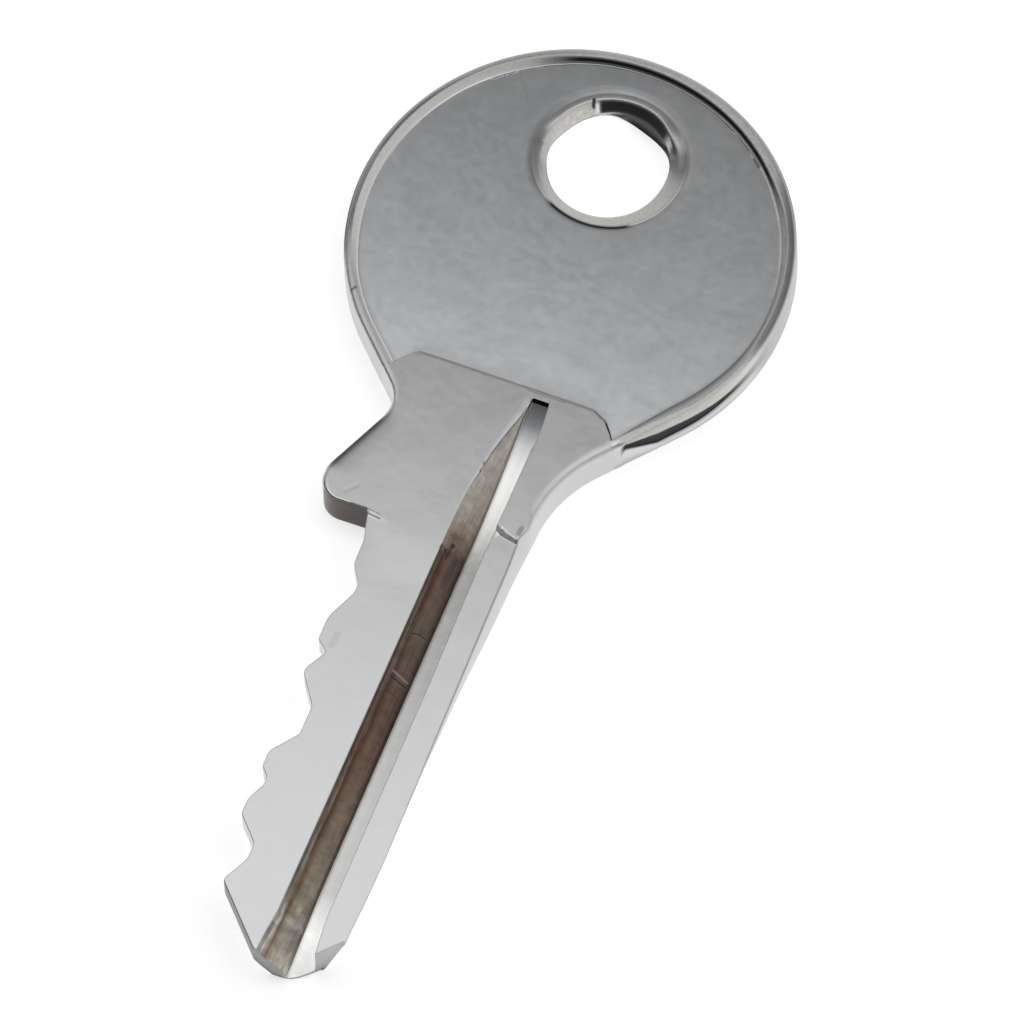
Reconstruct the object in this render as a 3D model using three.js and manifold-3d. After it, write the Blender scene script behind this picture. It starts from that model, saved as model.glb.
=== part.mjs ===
// Gate release key: a flat cylinder key, coined, milled and cut from one strip of metal.
// Millimetres, +Z up. The key lies on its back, the bow towards +Y and the cut edge towards -X.
// It is drawn about the bow's centre, and the model's origin is the middle of its footprint.

import * as THREE from 'three';
import { mergeVertices } from 'three/addons/utils/BufferGeometryUtils.js';
import Module from 'manifold-3d';

const wasm = await Module();
wasm.setup();

// Blank. Each reach or drop is measured from the bow's centre towards the tip.
const thickness = 2.2;
const bowRadius = 11.5;
const edgeRound = 0.3;              // coined edge of the blank, both faces

// Neck: the straight sides that leave the bow, as degrees from the key's axis
const spineNeckAngle = 40;
const cutNeckAngle = 44.5;
const spineFillet = 7;
const cutFillet = 1.4;

// Shoulder, the stop that meets the lock
const shoulderDrop = 17.85;
const shoulderWidth = 6.85;         // key's axis to the shoulder's outer side
const shoulderSide = 1.7;           // length of that side, corners included
const shoulderNose = 1.1;
const rampSlope = 0.447;            // sideways run of the ramp for each mm along the key

// Blade and tip
const spineAtShoulder = 4.05;       // key's axis to the spine
const spineAtTip = 3.48;
const cutEdge = 4.05;               // key's axis to the uncut edge
const tipReach = 43.07;
const tipWidth = 1.9;               // blunt end
const tipOffset = 0.6;              // its middle, towards the spine
const tipSpineBevel = 2.05;         // fall of the bevel on the spine side
const tipCutSlope = 0.915;          // sideways run of the other bevel for each mm
const tipCorner = 1.6;

// Bow: the recessed field inside the raised rim, on both faces
const rimWidth = 0.66;
const fieldDepth = 0.45;
const rootDrop = 8.57;              // start of the full thick root of the blade
const rootCornerWidth = 0.9;
const rootCornerDrop = 1.15;
const rootCornerRound = 0.4;

// Key-ring hole, flared from both faces to its narrowest ring at mid thickness
const ringHoleRadius = 3;
const ringHoleOffset = 5.36;        // from the bow's centre
const ringHoleFlare = 0.96;

// Groove in the front face: a sloping side, then a square slot, both run out under one saw
const grooveEdge = 0.12;            // key's axis to the start of the sloping side
const slopeRun = 1.2;
const slopeDepth = 1.12;
const slotWidth = 1.09;
const slotDepth = 1.55;
const sawRadius = 30;
const sawDrop = 17.5;               // the saw's last full-depth place
const slotEndDrop = 9.05;           // the slot's square end

// Lip: a steeper cut along the groove's edge, below the shoulder
const lipWidth = 0.2;
const lipDepth = 0.45;
const lipDrop = 18.4;

// Spine land, a step lower than the root, and its sloping outer edge
const landStep = 0.2;
const landDrop = 16.7;
const landWidth = 1.24;
const landEdgeFall = 2;             // fall for each mm outwards

// Back of the web, milled away beside the thick spine, with a sloping wall towards it
const webStep = 0.92;
const webDrop = 18.4;
const webWallOffset = 0.35;         // wall's inner edge, from the key's axis towards the cuts
const webWallRun = 0.95;

// Pin cuts, counted from the shoulder. Flanks are the sideways run for each mm along the key.
const firstCut = 4.35;
const cutPitch = 3.94;
const cuts = [
  { left: 2.97, flat: 0.55, bowFlank: 0.63, tipFlank: 0.43 },
  { left: 3.1, flat: 0.12, bowFlank: 1.23, tipFlank: 0.55 },
  { left: 2.62, flat: 1.7, bowFlank: 0.68, tipFlank: 0.78 },
  { left: 3.26, flat: 0.46, bowFlank: 0.88, tipFlank: 0.47 },
  { left: 2.5, flat: 0.93, bowFlank: 0.91, tipFlank: 0.48 },
];
const bladeTrim = 0.32;             // shaved off the whole uncut edge below the shoulder
const reliefDepth = 0.45;           // a little more beside the shoulder
const reliefRamp = 1.7;
const reliefLength = 3.1;

const arcStep = 5;                  // degrees for each facet of a rounded corner
const bowStep = 2;
const holeFacets = 72;
const sawFacets = 240;
const clear = 1;                    // how far each cutting body runs past the blank
const rad = THREE.MathUtils.degToRad;

// A closed three.js geometry as a solid for cutting and joining.
function solidOf(geometry) {
  const bare = geometry.index ? geometry.toNonIndexed() : geometry.clone();
  bare.deleteAttribute('normal');
  bare.deleteAttribute('uv');
  const merged = mergeVertices(bare, 1e-4);
  return new wasm.Manifold(new wasm.Mesh({
    numProp: 3,
    vertProperties: new Float32Array(merged.attributes.position.array),
    triVerts: new Uint32Array(merged.index.array),
  }));
}

function geometryOf(solid) {
  const mesh = solid.getMesh();
  const geometry = new THREE.BufferGeometry();
  geometry.setAttribute('position', new THREE.BufferAttribute(mesh.vertProperties, 3));
  geometry.setIndex(new THREE.BufferAttribute(mesh.triVerts, 1));
  geometry.computeVertexNormals();
  return geometry;
}

// A closed outline from corner points [x, y, radius], each rounded by its own radius.
function roundedPath(corners) {
  const count = corners.length;
  return corners.flatMap(([x, y, radius = 0], i) => {
    const corner = new THREE.Vector2(x, y);
    const before = new THREE.Vector2(...corners[(i + count - 1) % count]).sub(corner).normalize();
    const after = new THREE.Vector2(...corners[(i + 1) % count]).sub(corner).normalize();
    const turn = Math.PI - Math.acos(THREE.MathUtils.clamp(before.dot(after), -1, 1));
    if (radius === 0 || turn < 1e-6) {
      return [corner];
    }
    const start = corner.clone().addScaledVector(before, radius * Math.tan(turn / 2));
    const inward = before.clone().add(after).normalize();
    const middle = corner.clone().addScaledVector(inward, radius / Math.cos(turn / 2));
    const side = -Math.sign(before.cross(after));
    const steps = Math.max(2, Math.ceil(turn / rad(arcStep)));
    return Array.from({ length: steps + 1 }, (_, k) => (
      start.clone().rotateAround(middle, side * turn * k / steps)
    ));
  });
}

function arcPoints(radius, from, to) {
  const steps = Math.round(Math.abs(to - from) / rad(bowStep));
  return Array.from({ length: steps + 1 }, (_, k) => {
    const angle = from + (to - from) * k / steps;
    return new THREE.Vector2(radius * Math.cos(angle), radius * Math.sin(angle));
  });
}

// A plate standing on the XY plane from z = low to z = high.
function plate(points, low, high) {
  const shape = new THREE.Shape(points);
  const geometry = new THREE.ExtrudeGeometry(shape, { depth: high - low, bevelEnabled: false });
  return solidOf(geometry.translate(0, 0, low));
}

// A bar along the key from one drop to a further one, its section given as points [x, z].
function bar(section, fromDrop, toDrop) {
  const shape = new THREE.Shape(section.map(([x, z]) => new THREE.Vector2(x, z)));
  const geometry = new THREE.ExtrudeGeometry(shape, {
    depth: toDrop - fromDrop,
    bevelEnabled: false,
  });
  geometry.rotateX(Math.PI / 2);
  return solidOf(geometry.translate(0, -fromDrop, 0));
}

// Straight neck side, tangent to a circle about the bow's centre. side is 1 at the spine.
function neckSide(radius, degrees, side) {
  const angle = rad(degrees);
  const tangent = [side * radius * Math.cos(angle), -radius * Math.sin(angle)];
  return {
    angle,
    tangent,
    xAt: (drop) => tangent[0] - side * (drop + tangent[1]) * Math.tan(angle),
    dropAt: (x) => side * (tangent[0] - x) / Math.tan(angle) - tangent[1],
  };
}

// Outline of the stamped blank, its blade left longer than the finished tip.
function blankOutline() {
  const right = neckSide(bowRadius, spineNeckAngle, 1);
  const left = neckSide(bowRadius, cutNeckAngle, -1);
  const sideDrop = shoulderDrop - shoulderSide;
  const rampAtAxis = shoulderWidth - rampSlope * sideDrop;
  const neckDrop = (-left.xAt(0) - rampAtAxis) / (rampSlope + Math.tan(left.angle));
  const end = -tipReach - clear;
  const lower = roundedPath([
    right.tangent,
    [spineAtShoulder, -right.dropAt(spineAtShoulder), spineFillet],
    [spineAtTip, -tipReach],
    [spineAtTip, end],
    [-cutEdge, end],
    [-cutEdge, -shoulderDrop],
    [-shoulderWidth, -shoulderDrop, shoulderNose],
    [-shoulderWidth, -sideDrop, shoulderNose],
    [left.xAt(neckDrop), -neckDrop, cutFillet],
    left.tangent,
  ]);
  const upper = arcPoints(bowRadius, Math.PI + left.angle, -right.angle).slice(1, -1);
  return lower.concat(upper);
}

function blank() {
  const geometry = new THREE.ExtrudeGeometry(new THREE.Shape(blankOutline()), {
    depth: thickness - 2 * edgeRound,
    bevelThickness: edgeRound,
    bevelSize: edgeRound,
    bevelOffset: -edgeRound,
    bevelSegments: 3,
  });
  return solidOf(geometry.translate(0, 0, edgeRound));
}

// The field keeps one rim width inside the blank and stops at the root of the blade.
function fieldOutline() {
  const radius = bowRadius - rimWidth;
  const right = neckSide(radius, spineNeckAngle, 1);
  const left = neckSide(radius, cutNeckAngle, -1);
  const low = rootDrop + rootCornerDrop;
  const lower = roundedPath([
    right.tangent,
    [right.xAt(low), -low],
    [right.xAt(low) - rootCornerWidth, -rootDrop, rootCornerRound],
    [left.xAt(low) + rootCornerWidth, -rootDrop, rootCornerRound],
    [left.xAt(low), -low],
    left.tangent,
  ]);
  const upper = arcPoints(radius, Math.PI + left.angle, -right.angle).slice(1, -1);
  return lower.concat(upper);
}

function ringHole() {
  const middle = thickness / 2;
  const reach = middle - fieldDepth;
  const far = reach + clear;
  const farRadius = ringHoleRadius + ringHoleFlare * far / reach;
  const profile = [
    [0, -far],
    [farRadius, -far],
    [ringHoleRadius, 0],
    [farRadius, far],
    [0, far],
  ];
  const points = profile.map(([x, y]) => new THREE.Vector2(x, y));
  const geometry = new THREE.LatheGeometry(points, holeFacets);
  geometry.rotateX(Math.PI / 2);
  return solidOf(geometry.translate(0, ringHoleOffset, middle));
}

// The pin cuts, the trimmed edge and the relief beside the shoulder, cut right through.
function pinCuts() {
  const outer = -cutEdge - clear;
  const trim = -cutEdge + bladeTrim;
  const relief = -cutEdge + reliefDepth;
  const start = -shoulderDrop;
  const strip = [
    [-cutEdge, start],
    [outer, start],
    [outer, -tipReach - 2 * clear],
    [trim, -tipReach - 2 * clear],
    [trim, start - reliefLength],
    [relief, start - reliefLength],
    [relief, start - reliefRamp],
  ];
  const shapes = cuts.map(({ left, flat, bowFlank, tipFlank }, i) => {
    const y = start - firstCut - i * cutPitch;
    const rise = -left - outer;
    return [
      [-left, y + flat / 2],
      [outer, y + flat / 2 + rise / bowFlank],
      [outer, y - flat / 2 - rise / tipFlank],
      [-left, y - flat / 2],
    ];
  });
  return [strip, ...shapes]
    .map((points) => plate(points.map(([x, y]) => new THREE.Vector2(x, y)), -clear, thickness + clear))
    .reduce((all, cut) => all.add(cut));
}

// What is cut away around the finished tip.
function tipCut() {
  const right = tipOffset + tipWidth / 2;
  const left = tipOffset - tipWidth / 2;
  const outer = cutEdge + 2 * clear;
  const bevelTop = -tipReach + tipSpineBevel;
  const end = -tipReach - 2 * clear;
  return plate(roundedPath([
    [outer, end],
    [outer, bevelTop],
    [spineAtTip, bevelTop, tipCorner],
    [right, -tipReach, tipCorner],
    [left, -tipReach, tipCorner],
    [-outer, -tipReach + (outer + left) / tipCutSlope],
    [-outer, end],
  ]), -clear, thickness + clear);
}

function groove() {
  const slot = grooveEdge + slopeRun;
  const top = thickness + clear / 2;
  const section = [
    [grooveEdge - (top - thickness) * slopeRun / slopeDepth, top],
    [slot, thickness - slopeDepth],
    [slot, thickness - slotDepth],
    [slot + slotWidth, thickness - slotDepth],
    [slot + slotWidth, top],
  ];
  const axisHeight = thickness - slotDepth + sawRadius;
  const rim = section.map(([x, z]) => new THREE.Vector2(axisHeight - z, x));
  const wheel = new THREE.LatheGeometry([...rim, rim[0]], sawFacets);
  wheel.rotateZ(-Math.PI / 2);
  wheel.translate(0, -sawDrop, axisHeight);
  const straight = bar(section, sawDrop, tipReach + clear);
  const reach = bar([
    [-cutEdge, -clear],
    [spineAtShoulder, -clear],
    [spineAtShoulder, thickness + clear],
    [-cutEdge, thickness + clear],
  ], slotEndDrop, tipReach + clear);
  return solidOf(wheel).add(straight).intersect(reach);
}

function lip() {
  return bar([
    [grooveEdge, thickness - lipDepth],
    [grooveEdge + lipWidth, thickness - lipDepth],
    [grooveEdge + lipWidth, thickness + clear],
    [grooveEdge - lipWidth / 4, thickness + clear],
    [grooveEdge - lipWidth / 4, thickness],
  ], lipDrop, tipReach + clear);
}

function spineLand() {
  const inner = grooveEdge + slopeRun + slotWidth;
  const outer = inner + landWidth;
  const far = spineAtShoulder + clear;
  const floor = thickness - landStep;
  return bar([
    [inner - slotWidth / 2, floor],
    [outer, floor],
    [far, floor - (far - outer) * landEdgeFall],
    [far, thickness + clear],
    [inner - slotWidth / 2, thickness + clear],
  ], landDrop, tipReach + clear);
}

function webBack() {
  const far = -cutEdge - clear;
  return bar([
    [far, -clear],
    [webWallRun * (1 + clear / webStep) - webWallOffset, -clear],
    [-webWallOffset, webStep],
    [far, webStep],
  ], webDrop, tipReach + clear);
}

function releaseKey() {
  const field = fieldOutline();
  return blank()
    .subtract(plate(field, thickness - fieldDepth, thickness + clear))
    .subtract(plate(field, -clear, fieldDepth))
    .subtract(ringHole())
    .subtract(pinCuts())
    .subtract(tipCut())
    .subtract(groove())
    .subtract(lip())
    .subtract(spineLand())
    .subtract(webBack());
}

const nickelPlate = new THREE.MeshStandardMaterial({
  color: 0xb3b3b0,
  roughness: 0.34,
  metalness: 1,
});

const key = new THREE.Mesh(geometryOf(releaseKey()), nickelPlate);
key.name = 'release_key';
key.position.y = (tipReach - bowRadius) / 2;

const gateReleaseKey = new THREE.Group();
gateReleaseKey.add(key);

export default gateReleaseKey;
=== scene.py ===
import math

import bmesh
import bpy
import numpy as np
from mathutils import Matrix, Vector


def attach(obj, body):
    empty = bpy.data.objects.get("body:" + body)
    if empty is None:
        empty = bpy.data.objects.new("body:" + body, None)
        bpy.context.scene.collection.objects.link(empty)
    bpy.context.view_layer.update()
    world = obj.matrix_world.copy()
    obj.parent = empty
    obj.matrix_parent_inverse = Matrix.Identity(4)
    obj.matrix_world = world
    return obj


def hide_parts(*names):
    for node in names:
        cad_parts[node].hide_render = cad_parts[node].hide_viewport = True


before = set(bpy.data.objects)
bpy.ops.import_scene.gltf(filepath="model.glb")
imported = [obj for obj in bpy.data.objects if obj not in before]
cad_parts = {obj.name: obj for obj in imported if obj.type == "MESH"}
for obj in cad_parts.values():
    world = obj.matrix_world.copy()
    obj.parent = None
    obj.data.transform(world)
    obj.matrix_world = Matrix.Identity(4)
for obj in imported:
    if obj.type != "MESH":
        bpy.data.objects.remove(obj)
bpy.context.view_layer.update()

# All lengths below are millimetres. A drawing point (x, y) is measured from the bow's centre,
# and originShift moves it to the model's origin.
originShift = 15.785
toMetres = 0.001


def smoothStep(low, high, value):
    t = np.clip((np.asarray(value, float) - low) / (high - low), 0, 1)
    return t * t * (3 - 2 * t)


def softMax(a, b, width):
    near = np.maximum(width - np.abs(a - b), 0) / width
    return np.maximum(a, b) + near * near * width / 4


def unit(v):
    return v / np.linalg.norm(v, axis=-1, keepdims=True)


blankSize = {
    "thickness": 2.2,
    "bowRadius": 11.5,
    "edgeRound": 0.3,           # coined edge
    "cutEdgeRound": 0.07,       # edges left by the cutter
    "spineNeckAngle": 40.0,     # degrees from the key's axis
    "cutNeckAngle": 44.5,
    "spineFillet": 7.0,
    "cutFillet": 1.8,
    "shoulderWidth": 6.93,
    "shoulderDrop": 17.85,
    "shoulderSide": 1.7,
    "shoulderNose": 1.25,
    "rampSlope": 0.447,
    "cutEdge": 4.05,
}

bowSize = {
    "fieldDepth": 0.45,
    "footInset": 0.64,          # edge of the sunk field, from the outline
    "footShift": 0.09,          # the field sits this far off centre, down and left
    "stepRun": (0.25, 0.15),    # sideways run of the rim's inner wall, cut side and spine side
    "bandInset": (0.96, 0.84),  # the same two lengths along the folded band at the lower right
    "bandRun": 0.6,
    "lipReach": (0.5, 2.5, 5.0, 7.0, 9.0),  # the band's dark gap: its edges at these lengths from the corner
    "lipLow": (1.6, 0.55, 0.62, 0.82, 0.92),
    "lipHigh": (2.1, 1.58, 1.4, 1.22, 1.1),
    "bandStart": 0.5,           # where the folded band begins, from the root's corner
    "backRound": 0.12,
    "rays": 230,
    "neckRays": 22,
}
# The ring hole on each face: depths are measured from that face.
# The neck lies deeper on the upper side, below a steep wall, and the back lip leans in at one side.
holeFront = {"neck": (-0.06, 5.5), "neckRadius": 3.12, "neckDepth": (0.85, 1.28, 1.6),
             "ring": (0.03, 5.42), "ringRadius": 3.96, "dish": 0.03, "steep": 1.0, "lean": 0.0}
holeBack = {"neck": (-0.06, 5.5), "neckRadius": 3.12, "neckDepth": (1.35, 0.92, 0.6),
            "ring": (-0.06, 5.5), "ringRadius": 3.3, "dish": 0.0, "steep": 0.0, "lean": 0.44}

# The root's step, from the left corner to the right one.
rootStep = np.array([
    (-6.11, -9.67), (-5.80, -9.28), (-5.28, -8.62), (-5.14, -8.52), (-4.96, -8.49),
    (4.45, -8.58), (4.72, -8.64), (5.28, -8.95), (5.43, -9.08), (6.046, -9.89),
])
rootFoot = np.array([
    (-5.93, -9.36), (-5.80, -9.19), (-5.325, -8.575), (-5.165, -8.465), (-4.96, -8.43),
    (4.46, -8.52), (4.74, -8.58), (5.315, -8.90), (5.477, -9.042), (5.995, -9.731),
])
seamGap = 0.22

# Lines of the groove: (y, x) of its edge on the land, and depth below the face across it.
grooveEdge = np.array([
    (-8.0, 1.42), (-9.6, 1.40), (-10.2, 1.24), (-10.8, 1.06), (-11.74, 0.82), (-12.53, 0.64),
    (-13.84, 0.47), (-14.68, 0.32), (-15.73, 0.21), (-17.7, 0.15), (-20.0, 0.12), (-26.0, 0.09),
    (-32.0, 0.06), (-40.6, 0.0), (-41.9, -0.14), (-43.1, -0.2),
])[::-1]
grooveDepth = np.array([
    (0.1, 0.0), (0.17, 0.02), (0.27, 0.13), (0.47, 0.3), (0.64, 0.47), (0.79, 0.61),
    (0.97, 0.79), (1.18, 0.99), (1.33, 1.13),
])
grooveSize = {
    "sawRadius": 30.0,
    "sawDrop": 17.5,
    "slotLeft": 1.32,
    "slotDepth": 1.55,
    "slotEnd": 9.05,
    "slotCorner": 0.1,
    "lipDrop": 18.45,
    "lipRun": 0.2,
    "lipFall": 0.44,
    "diveStart": 38.4,
    "diveEnd": 43.1,
    "diveDepth": 0.55,
}
slotRight = np.array([(-8.0, 2.36), (-9.1, 2.36), (-9.6, 2.42), (-10.1, 2.47), (-10.6, 2.50),
                      (-11.2, 2.48), (-11.9, 2.43), (-13.0, 2.42), (-13.6, 2.41), (-15.5, 2.40),
                      (-18.4, 2.31), (-21.4, 2.34), (-25.8, 2.41), (-40.0, 2.41), (-41.5, 2.49),
                      (-43.1, 2.6)])[::-1]

bladeSize = {
    "spine": np.array([(-15.7, 4.06), (-16.6, 4.0), (-18.3, 3.9), (-21.0, 3.84), (-24.7, 3.75),
                       (-28.4, 3.67), (-32.0, 3.5), (-35.7, 3.24), (-40.3, 3.08), (-43.1, 3.03)])[::-1],
    "landOuter": np.array([(-16.0, 3.72), (-17.0, 3.74), (-18.4, 3.80), (-21.4, 3.82), (-25.8, 3.88),
                           (-34.3, 3.96), (-36.0, 3.98), (-38.4, 3.94), (-40.2, 3.86), (-43.1, 3.82)])[::-1],
    "landStep": np.array([(2.3, -16.36), (2.52, -16.49), (2.84, -16.67), (3.82, -16.92)]),
    "landFall": 0.23,
    "leftLandFall": 0.035,
    "webStep": 0.92,
    "webDrop": 18.4,
    "webWall": (-0.35, 0.6),
}
pinCuts = [
    {"left": 2.97, "flat": 0.55, "bowFlank": 0.63, "tipFlank": 0.43},
    {"left": 3.10, "flat": 0.12, "bowFlank": 1.23, "tipFlank": 0.55},
    {"left": 2.62, "flat": 1.70, "bowFlank": 0.68, "tipFlank": 0.78},
    {"left": 3.26, "flat": 0.46, "bowFlank": 0.88, "tipFlank": 0.47},
    {"left": 2.50, "flat": 0.93, "bowFlank": 0.91, "tipFlank": 0.48},
]
firstCut = 4.35
cutPitch = 3.94
tipLine = np.array([(-0.6, -43.0), (-0.22, -43.04), (0.0, -43.06), (0.3, -43.065), (1.1, -43.065),
                    (1.5, -43.02), (1.9, -42.8), (2.3, -42.46), (2.6, -42.16), (3.0, -41.74),
                    (3.3, -41.42), (3.5, -41.18), (3.7, -41.0)])


# Each corner (x, y, radius) becomes an arc that is tangent to both its sides.
def roundCorners(corners, stepDegrees=4):
    points = []
    for k, (x, y, radius) in enumerate(corners):
        here = np.array((x, y), float)
        if radius == 0 or k in (0, len(corners) - 1):
            points.append(here[None])
            continue
        back = unit(np.array(corners[k - 1][:2]) - here)
        ahead = unit(np.array(corners[k + 1][:2]) - here)
        half = math.acos(np.clip(back @ ahead, -1, 1)) / 2
        turn = math.pi - 2 * half
        start = here + back * radius / math.tan(half)
        centre = here + unit(back + ahead) * radius / math.sin(half)
        side = -np.sign(back[0] * ahead[1] - back[1] * ahead[0])
        angle = side * np.linspace(0, turn, max(3, int(math.degrees(turn) / stepDegrees) + 2))
        arm = start - centre
        points.append(centre + np.stack([arm[0] * np.cos(angle) - arm[1] * np.sin(angle),
                                         arm[0] * np.sin(angle) + arm[1] * np.cos(angle)], 1))
    return np.concatenate(points)


# A polyline resampled at even steps of its own length.
def resample(points, step):
    points = points[np.r_[True, np.linalg.norm(np.diff(points, axis=0), axis=1) > 1e-9]]
    run = np.r_[0, np.cumsum(np.linalg.norm(np.diff(points, axis=0), axis=1))]
    at = np.linspace(0, run[-1], int(run[-1] / step) + 2)
    return np.stack([np.interp(at, run, points[:, 0]), np.interp(at, run, points[:, 1])], 1)


# Outward normals of a path that runs down the cut side: its tangent turned a quarter to the right.
def pathNormals(points):
    tangent = unit(np.gradient(points, axis=0))
    return np.stack([tangent[:, 1], -tangent[:, 0]], 1)


# Cut edge as x for each y: the furthest in of the trimmed edge, five V cuts and the tip's bevel.
def cutEdgeAt(y):
    edge = np.interp(-y, [17.85, 19.55, 20.8, 21.1, 60], [-4.05, -3.62, -3.6, -3.71, -3.73])
    for k, cut in enumerate(pinCuts):
        centre = -blankSize["shoulderDrop"] - firstCut - k * cutPitch
        away = np.abs(y - centre) - cut["flat"] / 2
        away = 0.5 * (away + np.sqrt(away * away + 0.006))
        flank = np.where(y > centre, cut["bowFlank"], cut["tipFlank"])
        edge = softMax(edge, -cut["left"] - away * flank, 0.14)
    return softMax(edge, -0.35 - 0.915 * (y + 43.07), 0.25)


# The cut side from the neck to the tip: neck line, fillet, ramp, nose, stop face, then the cut edge.
# Returns outline points, outward normals and the edge's rounding, all against one running length.
def cutSidePath():
    b = blankSize
    angle = math.radians(b["cutNeckAngle"])
    tangent = (-b["bowRadius"] * math.cos(angle), -b["bowRadius"] * math.sin(angle))
    sideDrop = b["shoulderDrop"] - b["shoulderSide"]
    rampAtAxis = b["shoulderWidth"] - b["rampSlope"] * sideDrop
    atAxis = tangent[0] + tangent[1] * math.tan(angle)
    neckDrop = (-atAxis - rampAtAxis) / (b["rampSlope"] + math.tan(angle))
    neckX = atAxis + neckDrop * math.tan(angle)
    upper = resample(roundCorners([
        (tangent[0], tangent[1], 0),
        (neckX, -neckDrop, b["cutFillet"]),
        (-b["shoulderWidth"], -sideDrop, b["shoulderNose"] * 0.9),
        (-b["shoulderWidth"], -b["shoulderDrop"], b["shoulderNose"]),
        (-b["cutEdge"], -b["shoulderDrop"], 0),
    ]), 0.03)
    upperNormals = pathNormals(upper)
    upperNormals[-1] = (0, -1)
    fan = np.radians(np.linspace(270, 180, 9)[1:-1])
    corner = np.repeat(upper[-1:], len(fan), 0)
    y = np.arange(-b["shoulderDrop"], -43.05, -0.03)
    lower = np.stack([cutEdgeAt(y), y], 1)
    lowerNormals = pathNormals(lower)
    points = np.concatenate([upper, corner, lower])
    normals = np.concatenate([upperNormals, np.stack([np.cos(fan), np.sin(fan)], 1), lowerNormals])
    run = np.r_[0, np.cumsum(np.linalg.norm(np.diff(points, axis=0), axis=1) + 0.006)]
    stopStart = run[np.argmax(points[:, 1] < -b["shoulderDrop"] + 0.25)]
    stopEnd = run[len(upper) - 1]
    rounding = np.interp(run, [stopStart - 0.8, stopStart + 0.6, stopEnd, stopEnd + 0.4],
                         [b["edgeRound"], 0.14, 0.1, b["cutEdgeRound"]])
    inner = points - normals * rounding[:, None]
    return {"run": run, "points": points, "normals": normals, "rounding": rounding, "inner": inner}


def pathAt(path, run):
    def pick(name):
        values = path[name]
        if values.ndim == 1:
            return np.interp(run, path["run"], values)
        return np.stack([np.interp(run, path["run"], values[:, k]) for k in range(2)], 1)
    normals = unit(pick("normals"))
    return pick("points"), normals, pick("rounding")


def runAtY(path, y, low, high):
    keep = (path["run"] >= low) & (path["run"] <= high)
    runs = path["run"][keep]
    heights = np.minimum.accumulate(path["inner"][keep, 1])
    return np.interp(-np.asarray(y), -heights, runs)


# The spine side: neck line, large fillet, then the tapering spine.
def spinePath():
    b = blankSize
    angle = math.radians(b["spineNeckAngle"])
    tangent = (b["bowRadius"] * math.cos(angle), -b["bowRadius"] * math.sin(angle))
    spineX = 4.06
    cornerDrop = (tangent[0] - spineX) / math.tan(angle) - tangent[1]
    upper = resample(roundCorners([
        (tangent[0], tangent[1], 0),
        (spineX, -cornerDrop, b["spineFillet"]),
        (spineX, -15.7, 0),
    ]), 0.03)
    y = np.arange(-15.75, -43.1, -0.05)
    spine = np.interp(y, bladeSize["spine"][:, 0], bladeSize["spine"][:, 1])
    points = np.concatenate([upper, np.stack([spine, y], 1)])
    normals = -pathNormals(points)
    return points, normals


# Height of the front face at column x and row y on the cut side, the slope and the slot.
def sawRise(y):
    g = grooveSize
    past = np.clip(y + g["sawDrop"], 0, g["sawRadius"] * 0.9)
    return g["sawRadius"] - np.sqrt(g["sawRadius"] ** 2 - past * past)


def leftLandHeight(x, y):
    run = 0.12 + 3.2 * smoothStep(-3.6, -3.0, x)
    fall = np.clip((-18.0 - y) / run, 0, 1)
    return blankSize["thickness"] - bladeSize["leftLandFall"] * fall * fall * (3 - 2 * fall)


def spineLandHeight(x, y):
    line = np.interp(x, bladeSize["landStep"][:, 0], bladeSize["landStep"][:, 1])
    return blankSize["thickness"] - bladeSize["landFall"] * smoothStep(0.0, 0.1, line - y)


def slopeHeight(x, y):
    g = grooveSize
    thickness = blankSize["thickness"]
    cut = thickness - np.interp(x, grooveDepth[:, 0], grooveDepth[:, 1]) + sawRise(y)
    edge = np.interp(y, grooveEdge[:, 0], grooveEdge[:, 1])
    foot = edge + g["lipRun"]
    share = np.clip((x - foot) / np.maximum(g["slotLeft"] - foot, 1e-3), 0, 1)
    below = thickness - 0.08 - g["lipFall"]
    straight = below + (thickness - 1.12 - below) * share
    mix = smoothStep(g["lipDrop"] - 0.15, g["lipDrop"] + 0.25, -y)
    height = np.minimum(cut, thickness) * (1 - mix) + straight * mix
    dive = np.clip((-y - g["diveStart"]) / (g["diveEnd"] - g["diveStart"]), 0, 1) ** 1.3
    return height - dive * g["diveDepth"] * np.clip((x - 0.15) / 1.15, 0, 1)


def slotHeight(y):
    g = grooveSize
    dive = np.clip((-y - g["diveStart"]) / (g["diveEnd"] - g["diveStart"]), 0, 1) ** 1.3
    return blankSize["thickness"] - g["slotDepth"] + sawRise(y) - dive * g["diveDepth"] * 0.95


def backHeight(x, y):
    low, high = bladeSize["webWall"]
    lift = bladeSize["webStep"] * np.clip((high - x) / (high - low), 0, 1)
    return lift * smoothStep(bladeSize["webDrop"], bladeSize["webDrop"] + 0.12, -y)


sideWall = np.array([0.02, 0.05, 0.15, 0.3, 0.45, 0.52, 0.56, 0.75])
sideSteps = 6 + len(sideWall) + 6 - 1


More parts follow.
